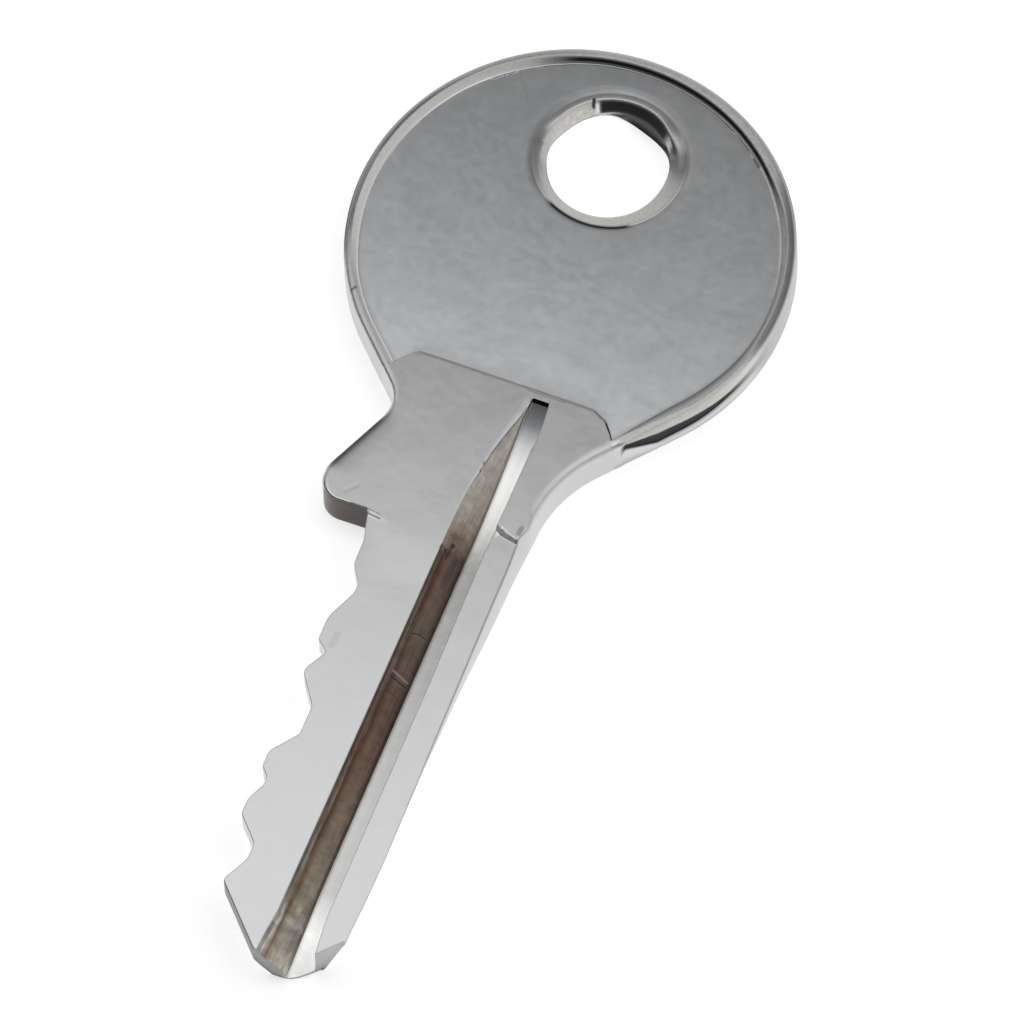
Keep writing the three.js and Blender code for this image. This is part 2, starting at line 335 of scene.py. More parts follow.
# Section of an edge: a curved front corner, a straight wall and a curved back corner.
# Each curve is a quadratic Bezier from one side of its corner to the other.
def sideProfile(points, normals, front, back, frontRound, backRound, outFront, outBack):
    height = front - back
    lean = (outBack - outFront) / height
    t = np.linspace(0, 1, 6)[None, :]

    def curve(a, b, c):
        return a[:, None] * (1 - t) ** 2 + 2 * b[:, None] * t * (1 - t) + c[:, None] * t ** 2
    topOut = curve(outFront - frontRound, outFront, outFront + lean * frontRound)
    topHigh = curve(front, front, front - frontRound)
    lowOut = curve(outBack - lean * backRound, outBack, outBack - backRound)
    lowHigh = curve(back + backRound, back, back)
    s = sideWall[None, :]
    wallOut = topOut[:, -1:] * (1 - s) + lowOut[:, :1] * s
    wallHigh = topHigh[:, -1:] * (1 - s) + lowHigh[:, :1] * s
    out = np.concatenate([topOut, wallOut, lowOut], 1)
    high = np.concatenate([topHigh, wallHigh, lowHigh], 1)
    flat = points[:, None, :] + normals[:, None, :] * out[:, :, None]
    return np.concatenate([flat, high[:, :, None]], 2)


# Rows down the blade: t fans from the bow's seam, y runs straight, and the last rows fan to the tip.
rowFan = np.concatenate([np.linspace(0, 0.035, 4), np.linspace(0.044, 0.058, 6),
                         np.linspace(0.066, 0.3, 15), np.linspace(0.325, 1, 20)])
rowNeck = np.linspace(-12.62, -16.3, 30)
rowShoulder = np.linspace(-16.38, -18.9, 50)
rowBlade = np.linspace(-19.0, -39.95, 205)
rowTip = np.concatenate([np.linspace(0.03, 0.95, 28), [0.975, 0.988, 0.994]])
fanEnd = -12.5
tipStart = -40.0


# Plan grid of the blade's faces. Columns follow the web wall, groove edge, lip, slope, slot and land.
def bladePlan(path, spinePoints, spineNormals):
    stepY = lambda x: np.interp(x, rootStep[:, 0], rootStep[:, 1])
    firstX, firstY = rootStep[0] + np.array((-0.043, -0.042))
    lastX, lastY = rootStep[-1] + np.array((0.161, -0.135))
    runs = path["run"]
    inner = path["inner"]
    rampRun = runs[np.argmax(inner[:, 1] < -16.38)]
    edgeRun = runs[np.argmax((inner[:, 1] < -18.9) & (inner[:, 0] > -4.2))]
    fanLeft = firstY * (1 - rowFan) + fanEnd * rowFan
    rowLeft = np.concatenate([
        runAtY(path, fanLeft, 0, rampRun),
        runAtY(path, rowNeck, 0, rampRun),
        np.linspace(rampRun, edgeRun, len(rowShoulder)),
        runAtY(path, rowBlade, edgeRun, runs[-1]),
        runAtY(path, tipStart + (-43.03 - tipStart) * rowTip, edgeRun, runs[-1]),
    ])
    leftPoints, leftNormals, leftRound = pathAt(path, rowLeft)
    leftInner = leftPoints - leftNormals * leftRound[:, None]

    rowMiddle = np.concatenate([fanEnd + 0 * rowFan, rowNeck, rowShoulder, rowBlade, tipStart + 0 * rowTip])
    rightTipY = -41.1
    rightY = np.concatenate([lastY * (1 - rowFan) + fanEnd * rowFan, rowNeck, rowShoulder, rowBlade,
                             tipStart + (rightTipY - tipStart) * rowTip])
    rightRound = 0.46 - 0.3 * smoothStep(14.8, 17.0, -rightY) - 0.08 * smoothStep(27, 34, -rightY)
    spineInner = spinePoints - spineNormals * 0.46
    order = np.argsort(spineInner[:, 1])
    pick = lambda values: np.interp(rightY, spineInner[order, 1], values[order])
    rightPoints = np.stack([pick(spinePoints[:, 0]), pick(spinePoints[:, 1])], 1)
    rightNormals = unit(np.stack([pick(spineNormals[:, 0]), pick(spineNormals[:, 1])], 1))
    landOuter = np.interp(rightY, bladeSize["landOuter"][:, 0], bladeSize["landOuter"][:, 1])
    blend = smoothStep(15.9, 16.9, -rightY)
    outFront = (landOuter - rightPoints[:, 0]) * blend
    rightInner = rightPoints + rightNormals * (outFront - rightRound)[:, None]

    # columns: shares within each band between two lines
    edge = lambda y: np.interp(y, grooveEdge[:, 0], grooveEdge[:, 1])
    right = lambda y: np.interp(y, slotRight[:, 0], slotRight[:, 1])
    y = rowMiddle.copy()
    y[:len(rowFan)] = -8.86 * (1 - rowFan) + fanEnd * rowFan
    y[-len(rowTip):] = tipStart + (-43.04 - tipStart) * rowTip
    grooveX = edge(y)
    slotLeft = np.full_like(y, grooveSize["slotLeft"])
    slotLeft = slotLeft + 0.12 * smoothStep(-10.2, -9.0, y)
    slotR = right(y)
    webX = np.maximum(bladeSize["webWall"][0], leftInner[:, 0] + 0.03)
    grooveX = np.maximum(grooveX, webX + 0.04)
    grooveX = np.minimum(grooveX, slotLeft - 0.05)
    lipFoot = np.minimum(grooveX + grooveSize["lipRun"], slotLeft - 0.03)
    webLow = np.clip(bladeSize["webWall"][1], lipFoot + 0.005, slotLeft - 0.02)
    bands = [
        (leftInner[:, 0], webX, np.array([0.015, 0.06, 0.18, 0.34, 0.5, 0.66, 0.8, 0.92, 1])),
        (webX, grooveX - 0.03, np.array([0.4, 0.8, 1])),
        (grooveX - 0.03, grooveX, np.array([0.5, 1])),
        (grooveX, lipFoot, np.array([0.12, 0.4, 0.7, 1])),
        (lipFoot, webLow, np.array([0.12, 0.5, 1])),
        (webLow, slotLeft - 0.012, np.array([0.25, 0.5, 0.75, 0.94, 1])),
        (slotLeft - 0.012, slotLeft + 0.02, np.array([0.5, 1])),
        (slotLeft + 0.02, slotR - 0.03, np.array([0.03, 0.2, 0.5, 0.8, 0.97, 1])),
        (slotR - 0.03, slotR, np.array([0.6, 1])),
        (slotR, slotR + 0.03, np.array([0.4, 1])),
        (slotR + 0.03, rightInner[:, 0], np.array([0.04, 0.2, 0.4, 0.6, 0.8, 0.94, 0.985, 1])),
    ]
    names = ["left", "web", "brink", "lip", "slopeTop", "slope", "slotLeft", "slotFloor", "slotRight",
             "brinkRight", "land"]
    columns = [leftInner[:, 0]]
    kinds = ["left"]
    for (low, high, shares), name in zip(bands, names):
        for share in shares:
            columns.append(low + (high - low) * share)
            kinds.append(name)
    x = np.stack(columns, 1)
    count = x.shape[1]

    # rows: y for each column
    ends = np.zeros(count)
    seamX = x[0]
    seamTaper = smoothStep(0, 0.5, seamX - firstX) * smoothStep(0, 0.5, lastX - seamX)
    stretch = (seamX - firstX) / (lastX - firstX)
    stepX = rootStep[0, 0] + (rootStep[-1, 0] - rootStep[0, 0]) * stretch
    seamY = stepY(stepX) - seamGap * seamTaper
    seamY = seamY + (firstY - rootStep[0, 1]) * (1 - smoothStep(0, 0.5, seamX - firstX))
    seamY = seamY + (lastY - rootStep[-1, 1]) * (1 - smoothStep(0, 0.5, lastX - seamX))
    slotMid = (seamX > 1.42) & (seamX < 2.36)
    corner = grooveSize["slotCorner"]
    inset = np.minimum(seamX - 1.42, 2.37 - seamX)
    drop = corner - np.sqrt(np.clip(corner ** 2 - (corner - np.clip(inset, 0, corner)) ** 2, 0, None))
    beside = np.exp(-np.clip(-inset, 0, None) / 0.35)
    slotBend = np.where(slotMid, drop + 0.13, (corner + 0.13) * beside) - 0.08
    seamY = seamY - slotBend * smoothStep(-5, -3, seamX) * (1 - smoothStep(4.2, 5, seamX))
    yGrid = np.repeat(rowMiddle[:, None], count, 1)
    n = len(rowFan)
    yGrid[:n] = seamY[None, :] * (1 - rowFan)[:, None] + fanEnd * rowFan[:, None]
    yGrid[:n, 0] = leftInner[:n, 1]
    yGrid[:n, -1] = rightInner[:n, 1]
    # beside the shoulder the left ends run along the stop face while the groove's rows go on
    low = n
    high = len(rowMiddle) - len(rowTip)
    grooveColumn = kinds.index("brink")
    across = (x - x[:, :1]) / np.maximum(x[:, grooveColumn:grooveColumn + 1] - x[:, :1], 1e-3)
    across = np.clip(across, 0, 1)
    fade = (1 - across) ** 1.5
    mid = slice(low, high)
    yGrid[mid] += (leftInner[mid, 1] - rowMiddle[mid])[:, None] * fade[mid]
    # towards the tip each column ends on the tip's own line
    tipRows = slice(high, len(rowMiddle))
    tipX = x[-1]
    tipY = np.interp(tipX, tipLine[:, 0], tipLine[:, 1])
    tipY[-1] = rightTipY
    yGrid[tipRows] = tipStart + (tipY[None, :] - tipStart) * rowTip[:, None]
    yGrid[tipRows, 0] = leftInner[tipRows, 1]
    yGrid[tipRows, -1] = rightInner[tipRows, 1]
    sides = {
        "leftPoints": leftPoints, "leftNormals": leftNormals, "leftRound": leftRound,
        "rightPoints": rightPoints, "rightNormals": rightNormals, "rightRound": rightRound,
        "outFront": outFront, "rightBlend": blend,
    }
    return x, yGrid, kinds, sides


def bladeHeights(x, y, kinds):
    kinds = np.array(kinds)
    front = np.zeros_like(x)
    isLeft = np.isin(kinds, ["left", "web"])
    front[:, isLeft] = leftLandHeight(x, y)[:, isLeft]
    columns = np.flatnonzero(kinds == "brink")
    land = leftLandHeight(x, y)
    front[:, columns[0]] = land[:, columns[0]] - 0.006
    front[:, columns[1]] = land[:, columns[1]] - 0.03 * smoothStep(9.6, 10.5, -y[:, columns[1]])
    slope = np.minimum(slopeHeight(x, y), land)
    columns = np.flatnonzero(kinds == "lip")
    lipOn = smoothStep(grooveSize["lipDrop"] - 0.15, grooveSize["lipDrop"] + 0.25, -y)
    fall = [0.1, 0.62, 0.93, 1.0]
    for column, share in zip(columns, fall):
        steep = land[:, column] - grooveSize["lipFall"] * share
        front[:, column] = slope[:, column] * (1 - lipOn[:, column]) + steep * lipOn[:, column]
    both = np.isin(kinds, ["slopeTop", "slope"])
    front[:, both] = slope[:, both]
    end = smoothStep(0.044, 0.058, np.r_[rowFan, np.ones(len(x) - len(rowFan))])[:, None]
    columns = np.flatnonzero(kinds == "slope")
    front[:, columns[-1]] -= 0.01 * end[:, 0]
    thickness = blankSize["thickness"]
    floor = thickness - (thickness - slotHeight(y)) * end
    columns = np.flatnonzero(kinds == "slotLeft")
    top = slope[:, columns[0] - 1]
    front[:, columns[0]] = top * 0.1 + floor[:, columns[0]] * 0.9
    front[:, columns[1]] = floor[:, columns[1]]
    isFloor = kinds == "slotFloor"
    front[:, isFloor] = floor[:, isFloor]
    spineLand = spineLandHeight(x, y)
    columns = np.flatnonzero(kinds == "slotRight")
    front[:, columns[0]] = floor[:, columns[0]] + 0.02 * end[:, 0]
    front[:, columns[1]] = spineLand[:, columns[1]] - 0.03 * end[:, 0]
    columns = np.flatnonzero(kinds == "brinkRight")
    front[:, columns[0]] = spineLand[:, columns[0]] - 0.008 * end[:, 0]
    front[:, columns[1]] = spineLand[:, columns[1]]
    isLand = kinds == "land"
    front[:, isLand] = spineLand[:, isLand]
    front[0] = thickness
    return front, backHeight(x, y)


# Stations of a ray from the ring hole out to the coined edge: flare, ring, field, step and rim top.
# Each station is a plan point and a depth below its own face. The flare's radius grows with the
# power 1.35 of its height. On the upper side it is a steep wall up to a knee, then a shallow dish.
def rayStations(foot, top, last, hole):
    depth = bowSize["fieldDepth"]
    neck, ring = np.array(hole["neck"]), np.array(hole["ring"])
    direction = unit(foot - np.array(holeFront["ring"]))
    t = np.linspace(0, 1, 10)
    centre = neck + (ring - neck) * t[:, None]
    rightward = smoothStep(-0.2, 0.4, direction[:, 0])
    upper = smoothStep(0, 1, (direction[:, 1] + 0.25 - 0.6 * rightward) / (0.7 - 0.25 * rightward))[:, None]
    steep = upper * hole["steep"]
    angle = np.degrees(np.arctan2(direction[:, 1], direction[:, 0]))[:, None]
    knee = 0.32 + 0.2 * smoothStep(40, 70, angle)
    kneeShare = np.where(t < 0.62, 0.05 + (knee - 0.05) * np.clip((t - 0.12) / 0.5, 0, 1),
                         knee + 0.08 + (1 - knee - 0.08) * np.clip((t - 0.7) / 0.3, 0, 1))
    kneeShare = np.where(t < 0.12, 0.05 * t / 0.12, kneeShare)
    share = t ** 1.35 * (1 - steep) + kneeShare * steep
    ringRadius = hole["ringRadius"] - 0.15 * hole["steep"] * np.exp(-((angle + 105) / 45) ** 2)
    neckRadius = hole["neckRadius"] + 0.06 * smoothStep(0.2, 0.9, -direction[:, 1])[:, None]
    flareRadius = neckRadius + (ringRadius - 0.06 - neckRadius) * share
    flareRadius = flareRadius - hole["lean"] * np.exp(-((angle - 70) / 34) ** 2) * np.sin(math.pi * t ** 0.8)
    neckDepth = hole["neckDepth"][0] * (1 - upper) + upper * (
        hole["neckDepth"][1] + (hole["neckDepth"][2] - hole["neckDepth"][1]) * smoothStep(100, 150, angle))
    shallow = depth + np.interp(t, [0, 0.62, 0.72, 1], [0, 0.08, 0.06, 0.02])
    kneeDepth = np.where(t < 0.62, neckDepth + (depth + 0.08 - neckDepth) * t / 0.62, shallow)
    flareDepth = (neckDepth + (depth + 0.05 - neckDepth) * t) * (1 - steep) + kneeDepth * steep
    dish = hole["dish"] * smoothStep(-0.35, 0.3, direction[:, 1])
    flare = centre[None] + direction[:, None, :] * flareRadius[:, :, None]
    ringOut = ringRadius + np.array([0.0, 0.06, 0.2, 0.4])
    ringPlan = ring + direction[:, None, :] * ringOut[:, :, None]
    ringDepth = depth + np.array([0.016, 0.004, 0, 0]) + dish[:, None] * np.array([1, 1, 0.6, 0])
    flareEnd = flareDepth + dish[:, None] * np.where(t > 0, t ** 3, 0)
    start = ringPlan[:, -1]
    flat = np.array([0.08, 0.2, 0.35, 0.5, 0.65, 0.8, 0.91, 0.97])
    field = start[:, None, :] + (foot - start)[:, None, :] * flat[None, :, None]
    inward = -unit(top - foot)
    away = np.array([0.09, 0.04, 0.0])
    footLines = foot[:, None, :] + inward[:, None, :] * away[None, :, None]
    share = np.array([0.35, 0.7, 0.93])
    wall = foot[:, None, :] + (top - foot)[:, None, :] * share[None, :, None]
    brink = np.array([0.0, 0.2, 0.55, 1.0])
    rim = top[:, None, :] + (last - top)[:, None, :] * brink[None, :, None]
    below = np.r_[np.full(len(flat), depth), depth - np.array([0.0, 0.004, 0.03]),
                  depth - 0.03 - (depth - 0.06) * np.array([0.3, 0.68, 0.96]), 0.012, 0, 0, 0]
    plan = np.concatenate([flare, ringPlan, field, footLines, wall, rim], 1)
    below = np.repeat(below[None], len(foot), 0)
    return plan, np.concatenate([flareEnd, ringDepth, below], 1)


# Painted light and shade beside the hole, for rays in each direction: a painted dark wall at the upper right with pale
# painted highlight lines on both sides, a pale painted highlight on the wall at the upper left, painted grey shade on
# the dish, a pale painted highlight on the lower ring and its painted dark hairline.
def holeLooks(direction, stations):
    paintedShade = np.zeros((len(direction), stations))
    tan = np.zeros((len(direction), stations))
    angle = np.degrees(np.arctan2(direction[:, 1], direction[:, 0]))
    right = smoothStep(40, 52, angle) * (1 - smoothStep(117, 121, angle))
    left = smoothStep(120, 125, angle) + smoothStep(0.9, 0.98, -direction[:, 0]) * (angle < 0)
    low = smoothStep(0.1, 0.8, direction @ (0.35, -0.94))
    hair = smoothStep(-127, -117, angle) * (1 - smoothStep(-58, -50, angle))
    dish = smoothStep(-0.15, 0.3, direction[:, 1])
    beside = np.maximum(dish, smoothStep(0.5, 0.9, -direction[:, 0]))
    paintedShade[:, 1:6] = right[:, None] * np.array([0.85, 0.93, 0.93, 0.93, 0.9])
    paintedShade[:, 0] = 0.55 * (1 - right) * (1 - low * 0.4)
    fold = smoothStep(-5, 20, angle) * (1 - smoothStep(40, 50, angle))
    paintedShade[:, :7] += 0.35 * fold[:, None]
    paintedShade[:, 7:13] += beside[:, None] * np.array([0.22, 0.28, 0.32, 0.36, 0.36, 0.24])
    paintedShade[:, 9:13] += hair[:, None] * np.array([0.5, 1.0, 1.0, 0.15])
    tan[:, 1:6] = left[:, None]
    tan[:, 2:9] += low[:, None]
    tan[:, 0] += 0.4 * right
    tan[:, 6] += 0.5 * smoothStep(0.1, 0.5, direction[:, 1])
    tan[:, 12] += 0.3 * smoothStep(-10, 5, angle) * (1 - smoothStep(45, 60, angle))
    return np.clip(paintedShade, 0, 1), np.clip(tan, 0, 1)


def gridFaces(rows, columns, start, flip=False, close=False):
    i, j = np.meshgrid(np.arange(rows - 1), np.arange(columns if close else columns - 1), indexing="ij")
    nextJ = (j + 1) % columns
    a = start + i * columns + j
    b = start + i * columns + nextJ
    c = start + (i + 1) * columns + nextJ
    d = start + (i + 1) * columns + j
    quads = np.stack([a, b, c, d], -1).reshape(-1, 4)
    return quads[:, ::-1] if flip else quads


def buildKey():
    b = blankSize
    thickness = b["thickness"]
    path = cutSidePath()
    spinePoints, spineNormals = spinePath()
    x, y, kinds, sides = bladePlan(path, spinePoints, spineNormals)
    front, back = bladeHeights(x, y, kinds)
    rows, columns = x.shape
    flat = np.zeros(rows)

    leftFront = front[:, 0]
    leftBack = back[:, 0]
    backRound = np.interp(-y[:, 0], [16.5, 17.7, 18.4, 18.6], [0.12, 0.12, 0.1, 0.07])
    left = sideProfile(sides["leftPoints"], sides["leftNormals"], leftFront, leftBack,
                       sides["leftRound"], backRound, flat, flat)
    rightBack = np.full(rows, bowSize["backRound"])
    rightUnder = -0.12 * smoothStep(20, 26, -y[:, -1])
    right = sideProfile(sides["rightPoints"], sides["rightNormals"], front[:, -1], back[:, -1],
                        sides["rightRound"], rightBack, sides["outFront"], rightUnder)
    tipRows = slice(rows - len(rowTip), rows)
    tipAt = lambda across: np.interp(across, tipLine[:, 0], tipLine[:, 1])
    wallX = right[tipRows, :, 0]
    right[tipRows, :, 1] += (tipAt(wallX) - tipAt(wallX[:, :1])) * rowTip[:, None]
    x[:, 0], y[:, 0] = left[:, 0, 0], left[:, 0, 1]
    x[:, -1], y[:, -1] = right[:, 0, 0], right[:, 0, 1]
    backX, backY = x.copy(), y.copy()
    backX[:, 0], backY[:, 0] = left[:, -1, 0], left[:, -1, 1]
    backX[:, -1], backY[:, -1] = right[:, -1, 0], right[:, -1, 1]
    land = np.flatnonzero(np.array(kinds) == "land")[:-1]
    inner = x[:, land[0] - 1:land[0]]
    backX[:, land] = inner + (x[:, land] - inner) * (backX[:, -1:] - inner) / (x[:, -1:] - inner)
    slid = tipAt(backX[tipRows, land[0]:]) - tipAt(x[tipRows, land[0]:])
    backY[tipRows, land[0]:-1] += slid[:, :-1] * rowTip[:, None]
    webFirst = np.minimum(backX[:, 1], backX[:, 0] + 0.6 * (x[:, 2] - backX[:, 0]))
    backX[:, 1] = np.maximum(webFirst, backX[:, 0] + 0.2 * (x[:, 2] - backX[:, 0]))

    frontGrid = np.stack([x, y, front], 2)
    backGrid = np.stack([backX, backY, back], 2)

    # bow: outline rays from the spine seam over the top to the cut seam
    spineAngle = math.radians(b["spineNeckAngle"])
    cutAngle = math.radians(b["cutNeckAngle"])
    theta = np.linspace(-spineAngle, math.pi + cutAngle, bowSize["rays"])
    arc = np.stack([np.cos(theta), np.sin(theta)], 1)
    seamRight = sides["rightPoints"][0]
    seamLeft = sides["leftPoints"][0]
    t = np.linspace(0, 1, bowSize["neckRays"] + 1)[:, None]
    rightLine = seamRight + (arc[0] * b["bowRadius"] - seamRight) * t
    leftLine = arc[-1] * b["bowRadius"] + (seamLeft - arc[-1] * b["bowRadius"]) * t
    outline = np.concatenate([rightLine[:-1], arc * b["bowRadius"], leftLine[1:]])
    normals = np.concatenate([np.repeat(arc[:1], len(t) - 1, 0), arc, np.repeat(arc[-1:], len(t) - 1, 0)])
    normals[0] = sides["rightNormals"][0]
    normals[-1] = sides["leftNormals"][0]
    rays = len(outline)
    fromCorner = np.r_[0, np.cumsum(np.linalg.norm(np.diff(outline, axis=0), axis=1))]
    turned = np.degrees(np.arctan2(normals[:, 1], normals[:, 0]))
    low = np.where(np.abs(turned) < 60, 1 - smoothStep(-30, -6, turned), 0)
    band = low * smoothStep(bowSize["bandStart"] - 0.15, bowSize["bandStart"] + 0.15, fromCorner)
    band[fromCorner > 20] = 0
    cutSide = smoothStep(0.1, 0.9, -(normals @ (0.8, 0.6)))
    footInset = bowSize["footInset"] + bowSize["footShift"] * normals.sum(1) + 0.14 * cutSide
    bandInset = np.interp(fromCorner, [2.0, 7.0], bowSize["bandInset"])
    footInset = footInset + (bandInset - footInset) * low
    run = bowSize["stepRun"][1] + (bowSize["stepRun"][0] - bowSize["stepRun"][1]) * cutSide
    run = run + (bowSize["bandRun"] - run) * low
    paleLeft = smoothStep(0.55, 0.8, normals @ (-0.9, 0.44))
    footInset = footInset + 0.08 * paleLeft
    run = run + 0.1 * paleLeft + 0.12 * smoothStep(0.8, 0.93, normals @ (0.99, 0.1))
    topInset = np.maximum(footInset - run, 0.3)
    foot = outline - normals * footInset[:, None]
    top = outline - normals * topInset[:, None]
    # at the seam the step's own corner is met
    fade = np.r_[np.linspace(1, 0, len(t)), np.zeros(rays - 2 * len(t)), np.linspace(0, 1, len(t))]
    isRight = np.arange(rays) < rays / 2
    topGoal = np.where(isRight[:, None], rootStep[-1], rootStep[0])
    cornerFoot = np.where(isRight[:, None], rootFoot[-1], rootFoot[0])
    topEnd = np.where(isRight[:, None], top[0], top[-1])
    footEnd = np.where(isRight[:, None], foot[0], foot[-1])
    top = top + (topGoal - topEnd) * fade[:, None]
    foot = foot + (cornerFoot - footEnd) * fade[:, None]
    upperLeft = smoothStep(0.0, 0.8, normals @ (-0.7, 0.7))
    frontRound = 0.3 + 0.08 * upperLeft
    frontRound[fromCorner < 4] = np.interp(fromCorner[fromCorner < 4], [0, 3], [0.46, 0.3])
    topInset = np.maximum(topInset, frontRound + 0.02)
    edge = sideProfile(outline, normals, np.full(rays, thickness), np.zeros(rays), frontRound,
                       np.full(rays, bowSize["backRound"]), -0.05 * upperLeft, np.zeros(rays))
    # the folded band: its lower lip is pressed in, which leaves a dark gap above the plain wall; painted shade darkens
    # the gap further
    high = edge[:, :, 2]
    gap = smoothStep(0.87, 0.95, high) * (1 - smoothStep(1.72, 1.8, high)) * band[:, None]
    edge[:, :, :2] -= normals[:, None, :] * gap[:, :, None] * 0.1
    lipLow = np.interp(fromCorner, bowSize["lipReach"], bowSize["lipLow"])[:, None]
    lipHigh = np.interp(fromCorner, bowSize["lipReach"], bowSize["lipHigh"])[:, None]
    slid = np.where(high < 0.91, high * lipLow / 0.91, np.where(
        high < 1.76, lipLow + (high - 0.91) / 0.85 * (lipHigh - lipLow),
        lipHigh + (high - 1.76) / (thickness - 1.76) * (thickness - lipHigh)))
    edge[:, :, 2] = high + (slid - high) * band[:, None]
    edge[0] = right[0]
    edge[-1] = left[0]
    bowFront, frontDepth = rayStations(foot, top, edge[:, 0, :2], holeFront)
    bowFront = np.concatenate([bowFront, (thickness - frontDepth)[:, :, None]], 2)
    bowBack, backDepth = rayStations(foot, top, edge[:, -1, :2], holeBack)
    bowBack = np.concatenate([bowBack, backDepth[:, :, None]], 2)
    bow = np.concatenate([bowFront, edge[:, 1:-1], bowBack[:, ::-1]], 1)

    # the root's sector: rays from the hole to the blade's first row
    seam = frontGrid[0]
    stretch = (seam[:, 0] - seam[0, 0]) / (seam[-1, 0] - seam[0, 0])
    stepX = rootStep[0, 0] + (rootStep[-1, 0] - rootStep[0, 0]) * stretch
    stepTop = np.stack([stepX, np.interp(stepX, rootStep[:, 0], rootStep[:, 1])], 1)
    stepFoot = np.stack([np.interp(stepX, rootStep[:, 0], rootFoot[:, k]) for k in range(2)], 1)
    stepTop[0], stepTop[-1] = top[-1], top[0]
    stepFoot[0], stepFoot[-1] = foot[-1], foot[0]
    plan, depth = rayStations(stepFoot, stepTop, seam[:, :2], holeFront)
    rootFront = np.concatenate([plan, (thickness - depth)[:, :, None]], 2)
    rootFront[0], rootFront[-1] = bowFront[-1], bowFront[0]
    plan, depth = rayStations(stepFoot, stepTop, backGrid[0, :, :2], holeBack)
    rootBack = np.concatenate([plan, depth[:, :, None]], 2)
    rootBack[0], rootBack[-1] = bowBack[-1], bowBack[0]

    # end wall between the last front and back rows, its edges eased
    lastFront = frontGrid[-1]
    lastBack = backGrid[-1]
    share = (left[-1, :, 2] - left[-1, -1, 2]) / (left[-1, 0, 2] - left[-1, -1, 2])
    cap = lastBack[:, None, :] + (lastFront - lastBack)[:, None, :] * share[None, :, None]
    ease = np.sqrt(np.clip(1 - (2 * np.linspace(0, 1, sideSteps + 1) - 1) ** 8, 0, 1))
    capOut = np.zeros((columns, 2))
    capOut[:, 1] = -0.02
    middle = slice(1, columns - 1)
    cap[middle, :, :2] += capOut[middle, None, :] * ease[None, :, None]
    cap[0] = left[-1]
    cap[-1] = right[-1]

    # looks carried by the vertices: where each kind of surface lies, and where painted shade and painted highlights go
    kindRow = np.array(kinds)
    blank = np.zeros((rows, columns))
    inGroove = np.isin(kindRow, ["lip", "slopeTop", "slope"])
    first = np.flatnonzero(kindRow == "brink")[-1]
    last = np.flatnonzero(kindRow == "slope")[-1]
    across = (x - x[:, first:first + 1]) / np.maximum(x[:, last:last + 1] - x[:, first:first + 1], 0.02)
    below = np.clip((thickness - front) / 0.05, 0, 1)
    across = np.where(inGroove[None], np.clip(across, 0.02, 1), 0) * below * smoothStep(9.5, 9.9, -y)
    inSlot = kindRow == "slotFloor"
    near, far = np.flatnonzero(inSlot)[[0, -1]]
    slot = (x - x[:, near:near + 1]) / (x[:, far:far + 1] - x[:, near:near + 1])
    slot = np.where(inSlot[None], np.clip(slot, 0.02, 1), 0) * np.clip((thickness - front) / 0.1, 0, 1)
    # painted shade: darker on the slot's right wall and on the slot's end wall at the bow end
    paintedShade = blank.copy()
    paintedShade[:, kindRow == "slotRight"] = 0.55
    endWall = 0.45 * smoothStep(0.035, 0.045, rowFan) * (1 - smoothStep(0.058, 0.064, rowFan))
    paintedShade[:len(rowFan)][:, inSlot] = endWall[:, None]
    frontLook = {"across": across, "slot": slot, "paintedShade": paintedShade}
    # painted light on the cut side's wall: painted shade on the shoulder's stop face, a painted dark strip on the wall
    # near the tip and along the ramp's edge and the face beside it, and a pale painted highlight on the neck's rounding
    leftY = sides["leftPoints"][:, 1]
    stop = smoothStep(0.3, 0.7, -sides["leftNormals"][:, 1]) * smoothStep(17.3, 17.6, -leftY)
    stop = stop * (1 - smoothStep(17.86, 17.9, -leftY))
    under = np.repeat(stop[:, None], sideSteps + 1, 1)
    under[:, :4] = 0
    cut = smoothStep(38.6, 39.6, -y[:, 0])[:, None] * np.ones(sideSteps + 1)
    wallOnly = np.r_[np.zeros(3), np.ones(sideSteps - 2)]
    ramp = smoothStep(11.8, 13.0, -leftY) * (1 - smoothStep(15.7, 16.5, -leftY))
    edgeOnly = np.r_[0.55, 0.75, 0.8, 0.8, 0.75, 0.6, np.zeros(sideSteps - 5)]
    leftShade = 0.04 * wallOnly + 0.6 * cut * wallOnly + ramp[:, None] * edgeOnly
    roundOnly = np.r_[0, 1, 1, np.zeros(sideSteps - 2)]
    neckTan = 0.5 * (1 - smoothStep(10.8, 12.2, -leftY))[:, None] * roundOnly
    leftLook = {"under": under, "paintedShade": np.clip(leftShade * (1 - under), 0, 1), "tan": neckTan}
    paintedShade[:, :4] += ramp[:, None] * np.array([0.55, 0.45, 0.22, 0.04])
    # painted light on the spine side's wall: painted shade along it on the blade, grey painted shade on it by the bow,
    # and a pale painted highlight on its rounding there
    blade = smoothStep(15.5, 17.5, -y[:, -1])[:, None]
    edgeLine = np.r_[0.0, 0.2, 0.26, 0.26, 0.24, 0.22, np.linspace(0.22, 0.1, sideSteps - 7), 0.2, 0.4]
    rightLook = {"paintedShade": edgeLine * blade + 0.12 * (1 - blade) * wallOnly, "tan": 0.5 * (1 - blade) * roundOnly}
